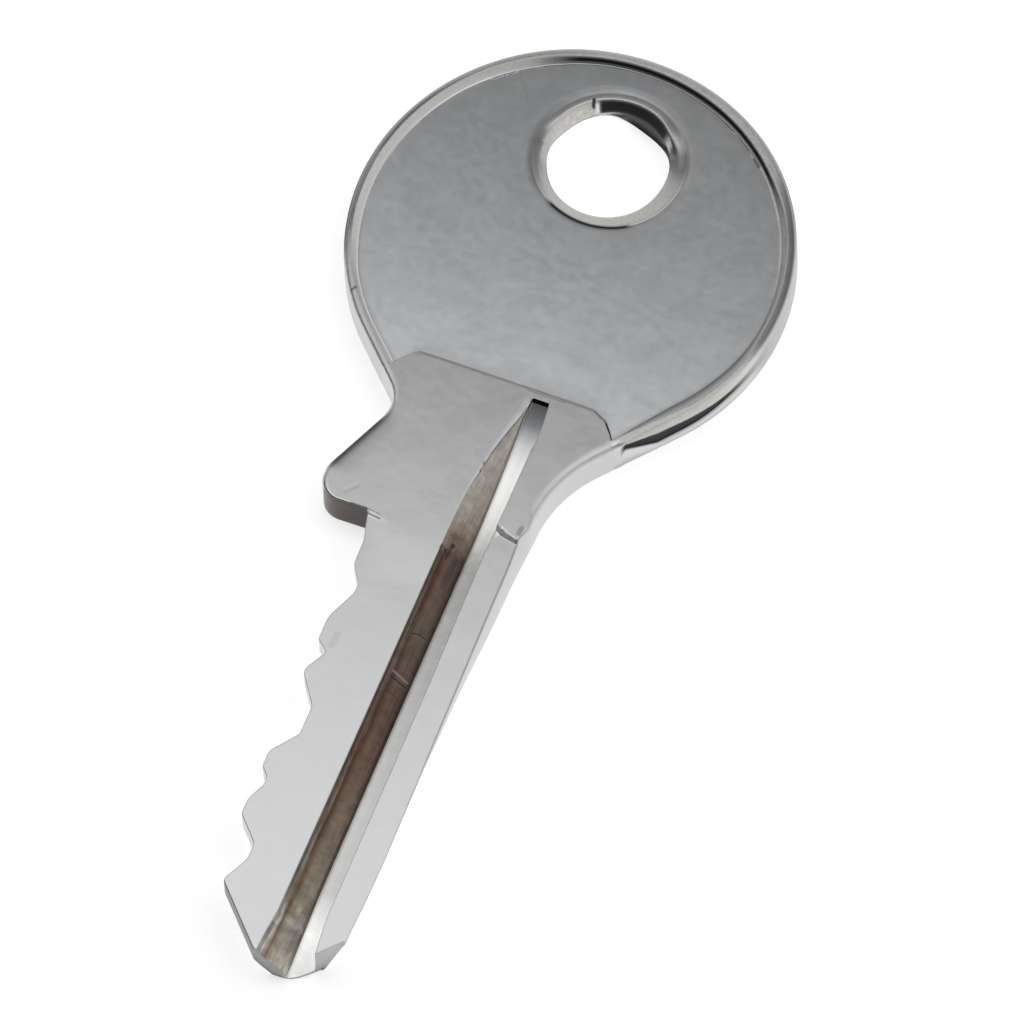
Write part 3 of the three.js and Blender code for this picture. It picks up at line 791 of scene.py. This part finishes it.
    # pale painted highlight on the land's step along the spine side
    step = np.clip((thickness - front) / bladeSize["landFall"], 0, 1)
    onStep = np.isin(kindRow, ["land", "brinkRight"])[None] & (np.abs(step - 0.5) < 0.49)
    near = onStep.copy()
    near[1:] |= onStep[:-1]
    near[:-1] |= onStep[1:]
    frontLook["tan"] = np.where(near, 1.0, 0.0)
    stations = bowFront.shape[1]
    count = bow.shape[1]
    bowShade = np.zeros((rays, count))
    footLine = stations - 8
    topLine = smoothStep(0.66, 0.86, normals @ (0.25, 0.968))
    lowLine = 0.8 * smoothStep(0.2, 0.95, normals @ (0.75, -0.66))
    # painted shadow line at the foot of the rim's step, along the top and at the lower right
    bowShade[:, footLine - 1:footLine + 4] = (topLine[:, None] * np.array([0.0, 0.25, 1.0, 0.95, 0.25])
                                               + lowLine[:, None] * np.array([0.45, 1.0, 0.6, 0.3, 0.1]))
    # painted shade in the folded band's gap
    bowShade[:, stations:stations + sideSteps - 1] = gap[:, 1:-1]
    tan = np.zeros((rays, count))
    # pale painted highlight over the folded band
    tan[:, stations - 4:stations + 6] = band[:, None]
    field = np.zeros((rays, count))
    field[:, 10:footLine + 1] = 1
    direction = unit(foot - np.array(holeFront["ring"]))
    holeShade, holeTan = holeLooks(direction, stations)
    bowShade[:, :stations] += holeShade
    tan[:, :stations] += holeTan
    # painted shade on the hole's back flare and neck where they face the dark side
    shaded = smoothStep(0.62, 0.86, direction @ (0.6, 0.8))
    bowShade[:, -10:] = shaded[:, None] * np.r_[np.full(8, 0.9), 0.85, 0.5]
    bowShade[:, 0] = np.maximum(bowShade[:, 0], 0.5 * shaded)
    bowShade[:, -1] = bowShade[:, 0]
    tan[:, -1] = tan[:, 0]
    # rim, painted light and shade: pale painted highlight on the top above a painted black line at the top, pale
    # painted highlight on the inner wall at the left and right, painted dark outline round the upper half and painted
    # grey shade on the walls elsewhere
    rounded = smoothStep(-0.1, 0.15, normals @ (-0.42, 0.91))
    tan[:, stations - 5:stations] += smoothStep(0.4, 0.8, normals[:, 1:]) * 0.75
    paleRight = smoothStep(0.86, 0.93, normals @ (0.978, 0.208))
    upperRight = smoothStep(0.8, 0.93, normals @ (0.77, 0.64))
    tan[:, footLine - 2:footLine + 2] += upperRight[:, None] * 0.55
    tan[:, footLine + 1:footLine + 5] += (paleLeft + paleRight)[:, None] * 0.8
    farLeft = smoothStep(0.85, 0.97, normals @ (-0.98, 0.17))
    bowShade[:, footLine + 6:footLine + 9] += (0.2 * paleLeft + 0.2 * farLeft + 0.3 * paleRight)[:, None]
    leftRound = smoothStep(0.1, 0.6, -normals[:, :1])
    outline = np.r_[0.0, 0.0, 0.25, 0.6, 0.85, 0.9, 0.7] * (1 - leftRound) + leftRound * np.r_[0.0, 0.0, 0.35, 0.8, 0.95, 0.9, 0.7]
    bowShade[:, stations - 1:stations + 6] += rounded[:, None] * outline
    plain = (1 - rounded[:, None]) * (1 - band[:, None])
    bowShade[:, stations:stations + sideSteps - 1] += 0.25 * plain * paleRight[:, None]
    bowShade[:, stations + 4:stations + sideSteps - 1] += 0.1 * plain
    bowShade[:, stations + 13:stations + 17] += 0.35 * low[:, None]
    tan[:, stations - 3:stations + 4] += 0.5 * smoothStep(0.85, 0.95, normals @ (-0.71, -0.70))[:, None]
    bowShade = np.clip(bowShade, 0, 1)
    bowLook = {"paintedShade": bowShade, "tan": np.clip(tan, 0, 1), "field": field}
    # painted shadow line along the root's step, and the hole's painted shade beside the root
    rootShade = np.zeros((columns, stations))
    rootShade[:, footLine - 4:footLine + 4] = np.array([0.05, 0.14, 0.9, 1.0, 1.0, 1.0, 1.0, 0.9])
    holeShade, holeTan = holeLooks(unit(stepFoot - np.array(holeFront["ring"])), stations)
    rootShade[:, :14] += holeShade[:, :14]
    rootField = np.zeros((columns, stations))
    rootField[:, 10:footLine] = 1
    neckOnly = np.r_[1, np.zeros(stations - 1)]
    rootUnder = {"paintedShade": rootShade * neckOnly, "tan": holeTan * neckOnly}
    # painted shade on the tip's end wall, darker towards the back face and at its left end
    ends = 0.34 + 0.4 * smoothStep(0.6, 0.95, np.linspace(0, 1, sideSteps + 1))
    leftEnd = 0.15 * (1 - smoothStep(1.1, 1.3, x[-1]))
    capShade = ends[None] + leftEnd[:, None]
    capShade[:, 0] = paintedShade[-1]
    capShade[:, -1] = 0
    capLook = {"paintedShade": capShade}
    patches = [
        (frontGrid, False, frontLook), (backGrid, True, {}), (left, True, leftLook), (right, False, rightLook),
        (bow, False, bowLook), (rootFront, True, {"paintedShade": rootShade, "field": rootField, "tan": holeTan}), (rootBack, False, rootUnder),
        (cap, True, capLook),
    ]
    points = []
    faces = []
    looks = {name: [] for name in ("across", "slot", "paintedShade", "under", "tan", "field")}
    start = 0
    for patch, flip, look in patches:
        faces.append(gridFaces(patch.shape[0], patch.shape[1], start, flip))
        points.append(patch.reshape(-1, 3))
        for name, parts in looks.items():
            parts.append(np.broadcast_to(look.get(name, 0.0), patch.shape[:2]).ravel())
        start += patch.shape[0] * patch.shape[1]
    looks = {name: np.concatenate(parts) for name, parts in looks.items()}
    return np.concatenate(points), np.concatenate(faces), looks


# A mesh of quads whose vertices carry the look values, welded where patches meet.
def makeMesh(name, points, faces, looks):
    mesh = bpy.data.meshes.new(name)
    placed = (points + np.array((0, originShift, 0))) * toMetres
    mesh.vertices.add(len(placed))
    mesh.vertices.foreach_set("co", placed.ravel())
    mesh.loops.add(faces.size)
    mesh.loops.foreach_set("vertex_index", faces.ravel())
    mesh.polygons.add(len(faces))
    mesh.polygons.foreach_set("loop_start", np.arange(0, faces.size, 4))
    mesh.update(calc_edges=True)
    for look, values in looks.items():
        mesh.attributes.new(look, "FLOAT", "POINT").data.foreach_set("value", values)
    work = bmesh.new()
    work.from_mesh(mesh)
    bmesh.ops.remove_doubles(work, verts=work.verts, dist=5e-7)
    bmesh.ops.recalc_face_normals(work, faces=work.faces)
    for face in work.faces:
        face.smooth = True
    loose = sum(1 for edge in work.edges if len(edge.link_faces) != 2)
    print("key mesh: vertices", len(work.verts), "faces", len(work.faces), "open edges", loose)
    work.to_mesh(mesh)
    work.free()
    return mesh


# Adds a node: settings are its own properties, inputs are constants or other nodes' outputs.
def addNode(tree, kind, inputs=None, **settings):
    node = tree.nodes.new(kind)
    for name, value in settings.items():
        setattr(node, name, value)
    for key, value in (inputs or {}).items():
        if isinstance(value, bpy.types.NodeSocket):
            tree.links.new(value, node.inputs[key])
        else:
            node.inputs[key].default_value = value
    return node


def addMath(tree, operation, *values, clamp=False):
    return addNode(tree, "ShaderNodeMath", dict(enumerate(values)), operation=operation,
                   use_clamp=clamp).outputs[0]


# Linear remap of a value from low..high to first..second, held at both ends.
def addRange(tree, value, low, high, first=0.0, second=1.0, soft=False):
    return addNode(tree, "ShaderNodeMapRange", {0: value, 1: low, 2: high, 3: first, 4: second},
                   interpolation_type="SMOOTHSTEP" if soft else "LINEAR").outputs[0]


def addMix(tree, share, a, b, blend="MIX"):
    return addNode(tree, "ShaderNodeMix", {0: share, 6: a, 7: b}, data_type="RGBA", blend_type=blend).outputs[2]


def addRamp(tree, value, stops):
    node = addNode(tree, "ShaderNodeValToRGB", {0: value})
    ramp = node.color_ramp
    while len(ramp.elements) < len(stops):
        ramp.elements.new(0.5)
    for element, (place, colour) in zip(ramp.elements, stops):
        element.position = place
        element.color = (*colour, 1)
    return node.outputs[0]


# Noise in millimetre coordinates, each axis stretched by its own factor.
def addNoise(tree, place, scale, detail=3.0, rough=0.55, stretch=(1, 1, 1)):
    if stretch != (1, 1, 1):
        place = addNode(tree, "ShaderNodeVectorMath", {0: place, 1: stretch}, operation="MULTIPLY").outputs[0]
    return addNode(tree, "ShaderNodeTexNoise", {"Vector": place, "Scale": scale, "Detail": detail,
                                                "Roughness": rough}).outputs["Fac"]


def addLook(tree, name):
    return addNode(tree, "ShaderNodeAttribute", attribute_name=name, attribute_type="GEOMETRY").outputs["Fac"]


# Share of a mark drawn from one plan point to another: 1 on its middle line, 0 beyond its half width.
def addMark(tree, flat, start, end, width):
    span = (end[0] - start[0], end[1] - start[1], 0)
    size = max(span[0] ** 2 + span[1] ** 2, 1e-6)
    arm = addNode(tree, "ShaderNodeVectorMath", {0: flat, 1: (start[0], start[1], 0)}, operation="SUBTRACT").outputs[0]
    along = addNode(tree, "ShaderNodeVectorMath", {0: arm, 1: span}, operation="DOT_PRODUCT").outputs["Value"]
    along = addMath(tree, "MULTIPLY", along, 1 / size, clamp=True)
    nearest = addNode(tree, "ShaderNodeVectorMath", {0: span, "Scale": along}, operation="SCALE").outputs[0]
    away = addNode(tree, "ShaderNodeVectorMath", {0: arm, 1: nearest}, operation="DISTANCE").outputs["Value"]
    return addRange(tree, away, width, width * 0.35, soft=True)


plateLook = {
    "land": [(0.0, (0.66, 0.663, 0.667)), (1.0, (0.69, 0.69, 0.69))],
    "field": [(0.0, (0.742, 0.755, 0.768)), (1.0, (0.77, 0.781, 0.793))],
    "roughness": (0.3, 0.34),
    # near black for the painted shade and for the dark marks
    "shadeAndNickBlack": (0.02, 0.017, 0.024),
    # pale colour of the painted highlights
    "tan": (0.95, 0.92, 0.865),
    # painted shade on the shoulder's stop face: brown, then near black
    "under": [(0.0, (0.19, 0.115, 0.088)), (0.55, (0.06, 0.034, 0.028)), (1.0, (0.025, 0.016, 0.017))],
    # colour of the groove's sloping side, the milled slope's brown with painted shade along the key and a painted
    # highlight band at its upper edge: along the key from the bow to the tip, then across it
    "along": [(0.0, (0.50, 0.46, 0.41)), (0.10, (0.55, 0.505, 0.45)), (0.155, (0.55, 0.5, 0.44)),
              (0.21, (0.41, 0.34, 0.28)), (0.24, (0.27, 0.2, 0.165)), (0.262, (0.17, 0.11, 0.085)),
              (0.39, (0.165, 0.12, 0.095)), (0.55, (0.145, 0.09, 0.064)), (0.68, (0.18, 0.125, 0.09)),
              (0.78, (0.215, 0.165, 0.125)), (0.9, (0.27, 0.235, 0.185)), (0.93, (0.52, 0.48, 0.41)),
              (0.942, (0.36, 0.33, 0.275)), (1.0, (0.5, 0.465, 0.395))],
    "across": [(0.0, (0.7, 0.7, 0.72)), (0.10, (1.6, 1.7, 1.8)), (0.16, (1.05, 1.05, 1.08)), (0.19, (0.85, 0.74, 0.68)),
               (0.22, (0.66, 0.44, 0.32)), (0.28, (0.66, 0.44, 0.32)), (0.36, (0.95, 0.86, 0.78)), (0.48, (1.12, 1.12, 1.1)),
               (0.8, (0.98, 0.98, 1.02)), (0.93, (0.82, 0.82, 0.88)), (1.0, (0.8, 0.78, 0.84))],
    # the slot's floor across its width, then along the key: painted shade, darker by the right wall, near black at the
    # bow end, darker along the middle of the blade and light again at the tip
    "slot": [(0.0, (0.99, 0.99, 0.985)), (0.25, (1, 1, 1)), (0.55, (0.93, 0.935, 0.93)),
             (0.9, (0.98, 0.98, 0.975)), (1.0, (0.75, 0.73, 0.78))],
    "slotAlong": [(0.0, (0.08, 0.08, 0.08)), (0.02, (0.14, 0.15, 0.16)), (0.035, (0.21, 0.22, 0.235)),
                  (0.067, (0.56, 0.565, 0.575)), (0.1, (0.8, 0.8, 0.8)), (0.13, (0.83, 0.825, 0.81)),
                  (0.16, (0.8, 0.795, 0.775)), (0.2, (0.72, 0.72, 0.7)), (0.235, (0.68, 0.68, 0.665)),
                  (0.29, (0.48, 0.48, 0.475)), (0.45, (0.46, 0.465, 0.46)), (0.7, (0.53, 0.535, 0.53)),
                  (0.86, (0.56, 0.56, 0.555)), (0.93, (0.97, 0.97, 0.96)), (1.0, (1, 1, 0.99))],
}
# Dark marks: start, end, half width and strength. Some are nicks, scratches and a chip; others are painted shadow lines
# and patches beside steps, cuts and the shoulder.
nickAndShadowMarks = [
    ((0.50, -23.36), (0.8, -23.22), 0.05, 0.8),
    ((0.8, -23.22), (1.12, -23.26), 0.05, 0.8),
    ((0.37, -26.03), (1.17, -26.16), 0.06, 0.85),
    ((0.42, -26.82), (1.1, -26.93), 0.035, 0.5),
    ((0.65, -18.02), (0.62, -18.15), 0.12, 0.75),
    ((0.63, -18.1), (0.52, -18.8), 0.07, 0.6),
    ((0.95, -18.6), (0.9, -20.2), 0.22, 0.35),
    ((-3.95, -18.03), (-3.29, -18.13), 0.06, 0.75),
    ((3.59, -16.5), (3.63, -16.15), 0.2, 0.4),
    ((-5.5, -17.35), (-4.96, -16.75), 0.1, 0.14),
    ((-9.38, -6.3), (-9.28, -6.1), 0.12, 0.6),
    ((-2.95, -25.7), (-2.9, -25.0), 0.25, 0.10),
    ((-1.93, 8.28), (-1.97, 8.5), 0.13, 0.95),
    ((-6.2, 8.9), (-4.9, 6.9), 0.05, 0.1),
    ((0.47, -13.4), (0.47, -13.25), 0.06, 0.6),
    ((0.47, -13.85), (0.45, -13.7), 0.05, 0.5),
]
# Light marks: painted highlights on chip, cut and step edges, and a painted lighter patch on the slot near the tip;
# start, end, half width and strength.
highlightMarks = [
    ((0.38, -25.7), (1.21, -25.90), 0.09, 0.3),
    ((2.5, -16.9), (2.68, -16.5), 0.13, 0.8),
    ((0.63, -40.8), (1.19, -40.2), 0.3, 0.25),
    ((-1.68, 8.3), (-1.72, 8.52), 0.1, 0.95),
    ((6.86, 3.59), (7.06, 3.78), 0.06, 0.6),
    ((-5.6, -17.15), (-5.05, -16.55), 0.09, 0.25),
]


# Nickel plate. Base colour is a grey ramp driven by broad noise, painted lighter towards the blade, then the slot's
# painted shade, the groove's brown with its painted shade and highlights, the shoulder's painted shade, the pale
# painted highlights, the small marks and the dark painted shade are mixed over it in turn.
def nickelPlate(name):
    look = plateLook
    material = bpy.data.materials.new(name)
    material.use_nodes = True
    tree = material.node_tree
    shader = tree.nodes["Principled BSDF"]
    coords = addNode(tree, "ShaderNodeTexCoord").outputs["Object"]
    place = addNode(tree, "ShaderNodeMapping", {"Vector": coords, "Location": (0, -originShift, 0),
                                                "Scale": (1000, 1000, 1000)}).outputs[0]
    axes = addNode(tree, "ShaderNodeSeparateXYZ", {0: place}).outputs
    flat = addNode(tree, "ShaderNodeCombineXYZ", {0: axes[0], 1: axes[1]}).outputs[0]
    cloud = addNoise(tree, place, 0.55, 2, 0.5)
    mottle = addNoise(tree, place, 2.2, 2, 0.5)
    grain = addNoise(tree, place, 7.0, 1, 0.5)
    milled = addNoise(tree, place, 1.0, 1, 0.5, (9, 0.3, 9))
    tone = addMath(tree, "ADD", addMath(tree, "MULTIPLY", cloud, 0.45), addMath(tree, "MULTIPLY", mottle, 0.55))
    spread = addRange(tree, tone, 0.36, 0.64)
    field = addRamp(tree, spread, look["field"])
    # painted light: the field's colour is brightened towards the blade
    paintedFieldLight = addRange(tree, axes[1], 7.0, -8.0, 1.04, 1.22)
    field = addNode(tree, "ShaderNodeVectorMath", {0: field, "Scale": paintedFieldLight}, operation="SCALE").outputs[0]
    base = addMix(tree, addLook(tree, "field"), addRamp(tree, spread, look["land"]), field)

    # the slot's milled floor, with painted shade along it
    slot = addLook(tree, "slot")
    inSlot = addRange(tree, slot, 0.004, 0.016)
    slotTone = addRamp(tree, addMath(tree, "ADD", slot, addRange(tree, milled, 0.3, 0.7, -0.07, 0.07)), look["slot"])
    slotAlong = addRamp(tree, addRange(tree, axes[1], -9.0, -43.0), look["slotAlong"])
    base = addMix(tree, inSlot, base, addMix(tree, 1.0, slotTone, slotAlong, "MULTIPLY"))

    # the groove's colour, its brown with painted shade and painted highlights: the ramp along the key times the ramp
    # across it, broken by streaks
    across = addLook(tree, "across")
    inGroove = addRange(tree, across, 0.004, 0.016)
    wobble = addRange(tree, addNoise(tree, place, 1.4, 3), 0.3, 0.7, -0.6, 0.6)
    along = addRange(tree, addMath(tree, "ADD", axes[1], wobble), -10.0, -43.0)
    grooveStainAndShade = addRamp(tree, along, look["along"])
    bands = addRamp(tree, addMath(tree, "ADD", across, addRange(tree, milled, 0.3, 0.7, -0.06, 0.06)), look["across"])
    below = addRange(tree, axes[1], -16.5, -19.5, soft=True)
    grooveStainAndShade = addMix(tree, below, grooveStainAndShade, addMix(tree, 1.0, grooveStainAndShade, bands, "MULTIPLY"))
    streak = addRange(tree, milled, 0.35, 0.7, 1.08, 0.84)
    patchy = addRange(tree, mottle, 0.35, 0.65, 0.85, 1.15)
    shade = addMath(tree, "MULTIPLY", streak, patchy)
    # painted light: the slope is drawn lighter towards the slot, most near the bow end and towards the tip
    tipward = addRange(tree, axes[1], -28.0, -37.0, soft=True)
    lift = addMath(tree, "ADD", addRange(tree, below, 0, 1, 0.8, 0.15), addMath(tree, "MULTIPLY", tipward, 0.9))
    lift = addMath(tree, "MULTIPLY", addMath(tree, "MULTIPLY", across, across), lift)
    shade = addMath(tree, "MULTIPLY", shade, addMath(tree, "ADD", lift, 1.3))
    grooveStainAndShade = addNode(tree, "ShaderNodeVectorMath", {0: grooveStainAndShade, "Scale": shade}, operation="SCALE").outputs[0]
    base = addMix(tree, inGroove, base, grooveStainAndShade)

    # painted shade on the shoulder's stop face, brown then near black
    under = addLook(tree, "under")
    underTone = addRamp(tree, addRange(tree, axes[0], -6.6, -4.2), look["under"])
    base = addMix(tree, addMath(tree, "MULTIPLY", under, 1.4, clamp=True), base, underTone)

    # pale painted highlights on the folded band, the hole's walls, the rim, the neck and the land's step, broken by
    # grain; the folded band's rough skin is its roughness and bumps
    tan = addMath(tree, "MULTIPLY", addLook(tree, "tan"), addRange(tree, grain, 0.3, 0.55, 0.5, 1.0), clamp=True)
    base = addMix(tree, tan, base, (*look["tan"], 1))

    for start, end, width, strength in nickAndShadowMarks:
        share = addMath(tree, "MULTIPLY", addMark(tree, flat, start, end, width), strength)
        base = addMix(tree, share, base, (*look["shadeAndNickBlack"], 1))
    # painted highlights
    for start, end, width, strength in highlightMarks:
        share = addMath(tree, "MULTIPLY", addMark(tree, flat, start, end, width), strength)
        base = addMix(tree, share, base, (0.93, 0.92, 0.9, 1))
    # painted shade: the look mixes the colour towards near black in creases, gaps and step lines and on walls facing
    # the dark side, and makes those places dull and barely reflective
    paintedShade = addLook(tree, "paintedShade")
    base = addMix(tree, addRange(tree, paintedShade, 0.02, 0.95), base, (*look["shadeAndNickBlack"], 1))
    tree.links.new(base, shader.inputs["Base Color"])
    black = addRange(tree, paintedShade, 0.35, 0.85)
    dull = addMath(tree, "ADD", addMath(tree, "MULTIPLY", inGroove, 0.7), addMath(tree, "MULTIPLY", tan, 0.85))
    dull = addMath(tree, "ADD", dull, addMath(tree, "MULTIPLY", under, 0.7))
    dull = addMath(tree, "ADD", dull, black)
    tree.links.new(addRange(tree, black, 0, 1, 0.5, 0.08), shader.inputs["Specular IOR Level"])
    tree.links.new(addMath(tree, "SUBTRACT", 1.0, dull, clamp=True), shader.inputs["Metallic"])

    rough = addRange(tree, tone, 0.35, 0.65, *look["roughness"])
    rough = addMath(tree, "ADD", rough, addMath(tree, "MULTIPLY", inGroove, 0.12))
    rough = addMath(tree, "SUBTRACT", rough, addMath(tree, "MULTIPLY", inSlot, 0.08))
    rough = addMath(tree, "ADD", rough, addMath(tree, "MULTIPLY", tan, 0.15))
    tree.links.new(rough, shader.inputs["Roughness"])

    # relief in millimetres: hammered waves, fine grain, milled streaks and the folded band's lumps
    relief = addMath(tree, "MULTIPLY", addNoise(tree, place, 0.6, 2), 0.012)
    relief = addMath(tree, "ADD", relief, addMath(tree, "MULTIPLY", mottle, 0.0015))
    relief = addMath(tree, "ADD", relief, addMath(tree, "MULTIPLY", grain, 0.0004))
    relief = addMath(tree, "ADD", relief, addMath(tree, "MULTIPLY", addMath(tree, "MULTIPLY", milled, inGroove), 0.0012))
    relief = addMath(tree, "ADD", relief, addMath(tree, "MULTIPLY", tan, 0.012))
    bump = addNode(tree, "ShaderNodeBump", {"Strength": 1.0, "Distance": 0.001, "Height": relief})
    tree.links.new(bump.outputs[0], shader.inputs["Normal"])
    return material


# 1 for camera, mirror and transmission rays, 0 for the rest.
def seenDirectly(tree):
    rays = addNode(tree, "ShaderNodeLightPath").outputs
    seen = addMath(tree, "MAXIMUM", rays["Is Camera Ray"], rays["Is Glossy Ray"])
    return addMath(tree, "MAXIMUM", seen, rays["Is Transmission Ray"])


floorLook = {"halfSize": 2.0, "colour": (0.86, 0.86, 0.86, 1), "glow": 0.69}


# White paper: a diffuse floor, and a glow for seen rays that lifts it to white and keeps the shadow.
def addFloor():
    half = floorLook["halfSize"]
    mesh = bpy.data.meshes.new("floor")
    mesh.from_pydata([(-half, -half, 0), (half, -half, 0), (half, half, 0), (-half, half, 0)], [], [(0, 1, 2, 3)])
    floor = bpy.data.objects.new("floor", mesh)
    bpy.context.scene.collection.objects.link(floor)
    material = bpy.data.materials.new("whitePaper")
    material.use_nodes = True
    tree = material.node_tree
    shader = tree.nodes["Principled BSDF"]
    shader.inputs["Base Color"].default_value = floorLook["colour"]
    shader.inputs["Roughness"].default_value = 0.9
    shader.inputs["Specular IOR Level"].default_value = 0.0
    shader.inputs["Emission Color"].default_value = (1, 1, 1, 1)
    strength = addMath(tree, "MULTIPLY", seenDirectly(tree), floorLook["glow"])
    tree.links.new(strength, shader.inputs["Emission Strength"])
    mesh.materials.append(material)


studioLook = {
    "ceiling": 0.17,        # strength overhead
    "walls": 0.72,          # strength towards the horizon
    "darkSide": 0.02,       # strength of the dark side, where the camera stands
    "darkTowards": (-0.55, -0.72, 0.42),
    "boxHeight": 0.09, "boxX": 0.0, "boxY": (-0.016, 0.043), "boxHalfWidth": 0.08,
    "boxPower": 0.0297,
}


# A room with pale walls, a greyer ceiling and one dark side, and a soft box close above the blade.
# Its strength goes from walls to ceiling by a smooth step of the direction's height, and then to
# the dark side by a smooth step of the cosine to it.
def addStudio():
    look = studioLook
    world = bpy.data.worlds.new("studio")
    bpy.context.scene.world = world
    world.use_nodes = True
    tree = world.node_tree
    towards = addNode(tree, "ShaderNodeTexCoord").outputs["Generated"]
    direction = addNode(tree, "ShaderNodeVectorMath", {0: towards}, operation="NORMALIZE").outputs[0]
    height = addNode(tree, "ShaderNodeSeparateXYZ", {0: direction}).outputs[2]
    plain = addRange(tree, height, 0.3, 0.75, look["walls"], look["ceiling"], soft=True)
    cosine = addNode(tree, "ShaderNodeVectorMath", {0: direction, 1: look["darkTowards"]},
                     operation="DOT_PRODUCT").outputs["Value"]
    dark = addRange(tree, cosine, 0.3, 0.65, soft=True)
    strength = addNode(tree, "ShaderNodeMix", {0: dark, 2: plain, 3: look["darkSide"]}).outputs[0]
    background = tree.nodes["Background"]
    background.inputs[0].default_value = (1, 1, 1, 1)
    tree.links.new(strength, background.inputs[1])
    near, far = look["boxY"]
    data = bpy.data.lights.new("softBox", "AREA")
    data.shape = "RECTANGLE"
    data.size = look["boxHalfWidth"] * 2
    data.size_y = far - near
    data.energy = look["boxPower"]
    box = bpy.data.objects.new("softBox", data)
    box.location = (look["boxX"], (near + far) / 2, look["boxHeight"])
    bpy.context.scene.collection.objects.link(box)


cameraSize = {
    "azimuth": 23.787, "elevation": 61.51, "roll": -3.0,
    "focal": 25000.0,      # pixels, for an image 1024 wide
    "scale": 19.707,       # pixels for each millimetre at the bow's centre
    "bowU": 571.035, "bowV": 264.555,
}


# The camera's place is the bow's centre plus the view direction times focal length over scale,
# moved sideways so that the bow's centre falls on its own pixel.
def addCamera():
    c = cameraSize
    a, e, roll = (math.radians(c[k]) for k in ("azimuth", "elevation", "roll"))
    back = np.array((math.sin(a) * math.cos(e), -math.cos(a) * math.cos(e), math.sin(e)))
    rightward = np.array((math.cos(a), math.sin(a), 0))
    upward = np.cross(back, rightward)
    turnedRight = math.cos(roll) * rightward + math.sin(roll) * upward
    turnedUp = -math.sin(roll) * rightward + math.cos(roll) * upward
    distance = c["focal"] / c["scale"]
    place = (back * distance - turnedRight * (c["bowU"] - 512) / c["focal"] * distance
             - turnedUp * (512 - c["bowV"]) / c["focal"] * distance)
    place = (place + np.array((0, originShift, 0))) * toMetres
    data = bpy.data.cameras.new("camera")
    data.sensor_width = 36
    data.lens = c["focal"] / 1024 * 36
    data.clip_start = 0.1
    data.clip_end = 20
    camera = bpy.data.objects.new("camera", data)
    camera.matrix_world = Matrix.Translation(Vector(place)) @ Matrix(
        np.stack([turnedRight, turnedUp, back], 1).tolist()).to_4x4()
    bpy.context.scene.collection.objects.link(camera)
    bpy.context.scene.camera = camera


mesh = makeMesh("releaseKeyPlate", *buildKey())
mesh.materials.append(nickelPlate("nickelPlate"))
key = bpy.data.objects.new("release_key_plate", mesh)
bpy.context.scene.collection.objects.link(key)
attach(key, "root")
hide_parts("release_key")
print("stage: key built")

addFloor()
addStudio()
addCamera()
bpy.context.scene.view_settings.view_transform = "Standard"
print("stage: floor, studio and camera set")
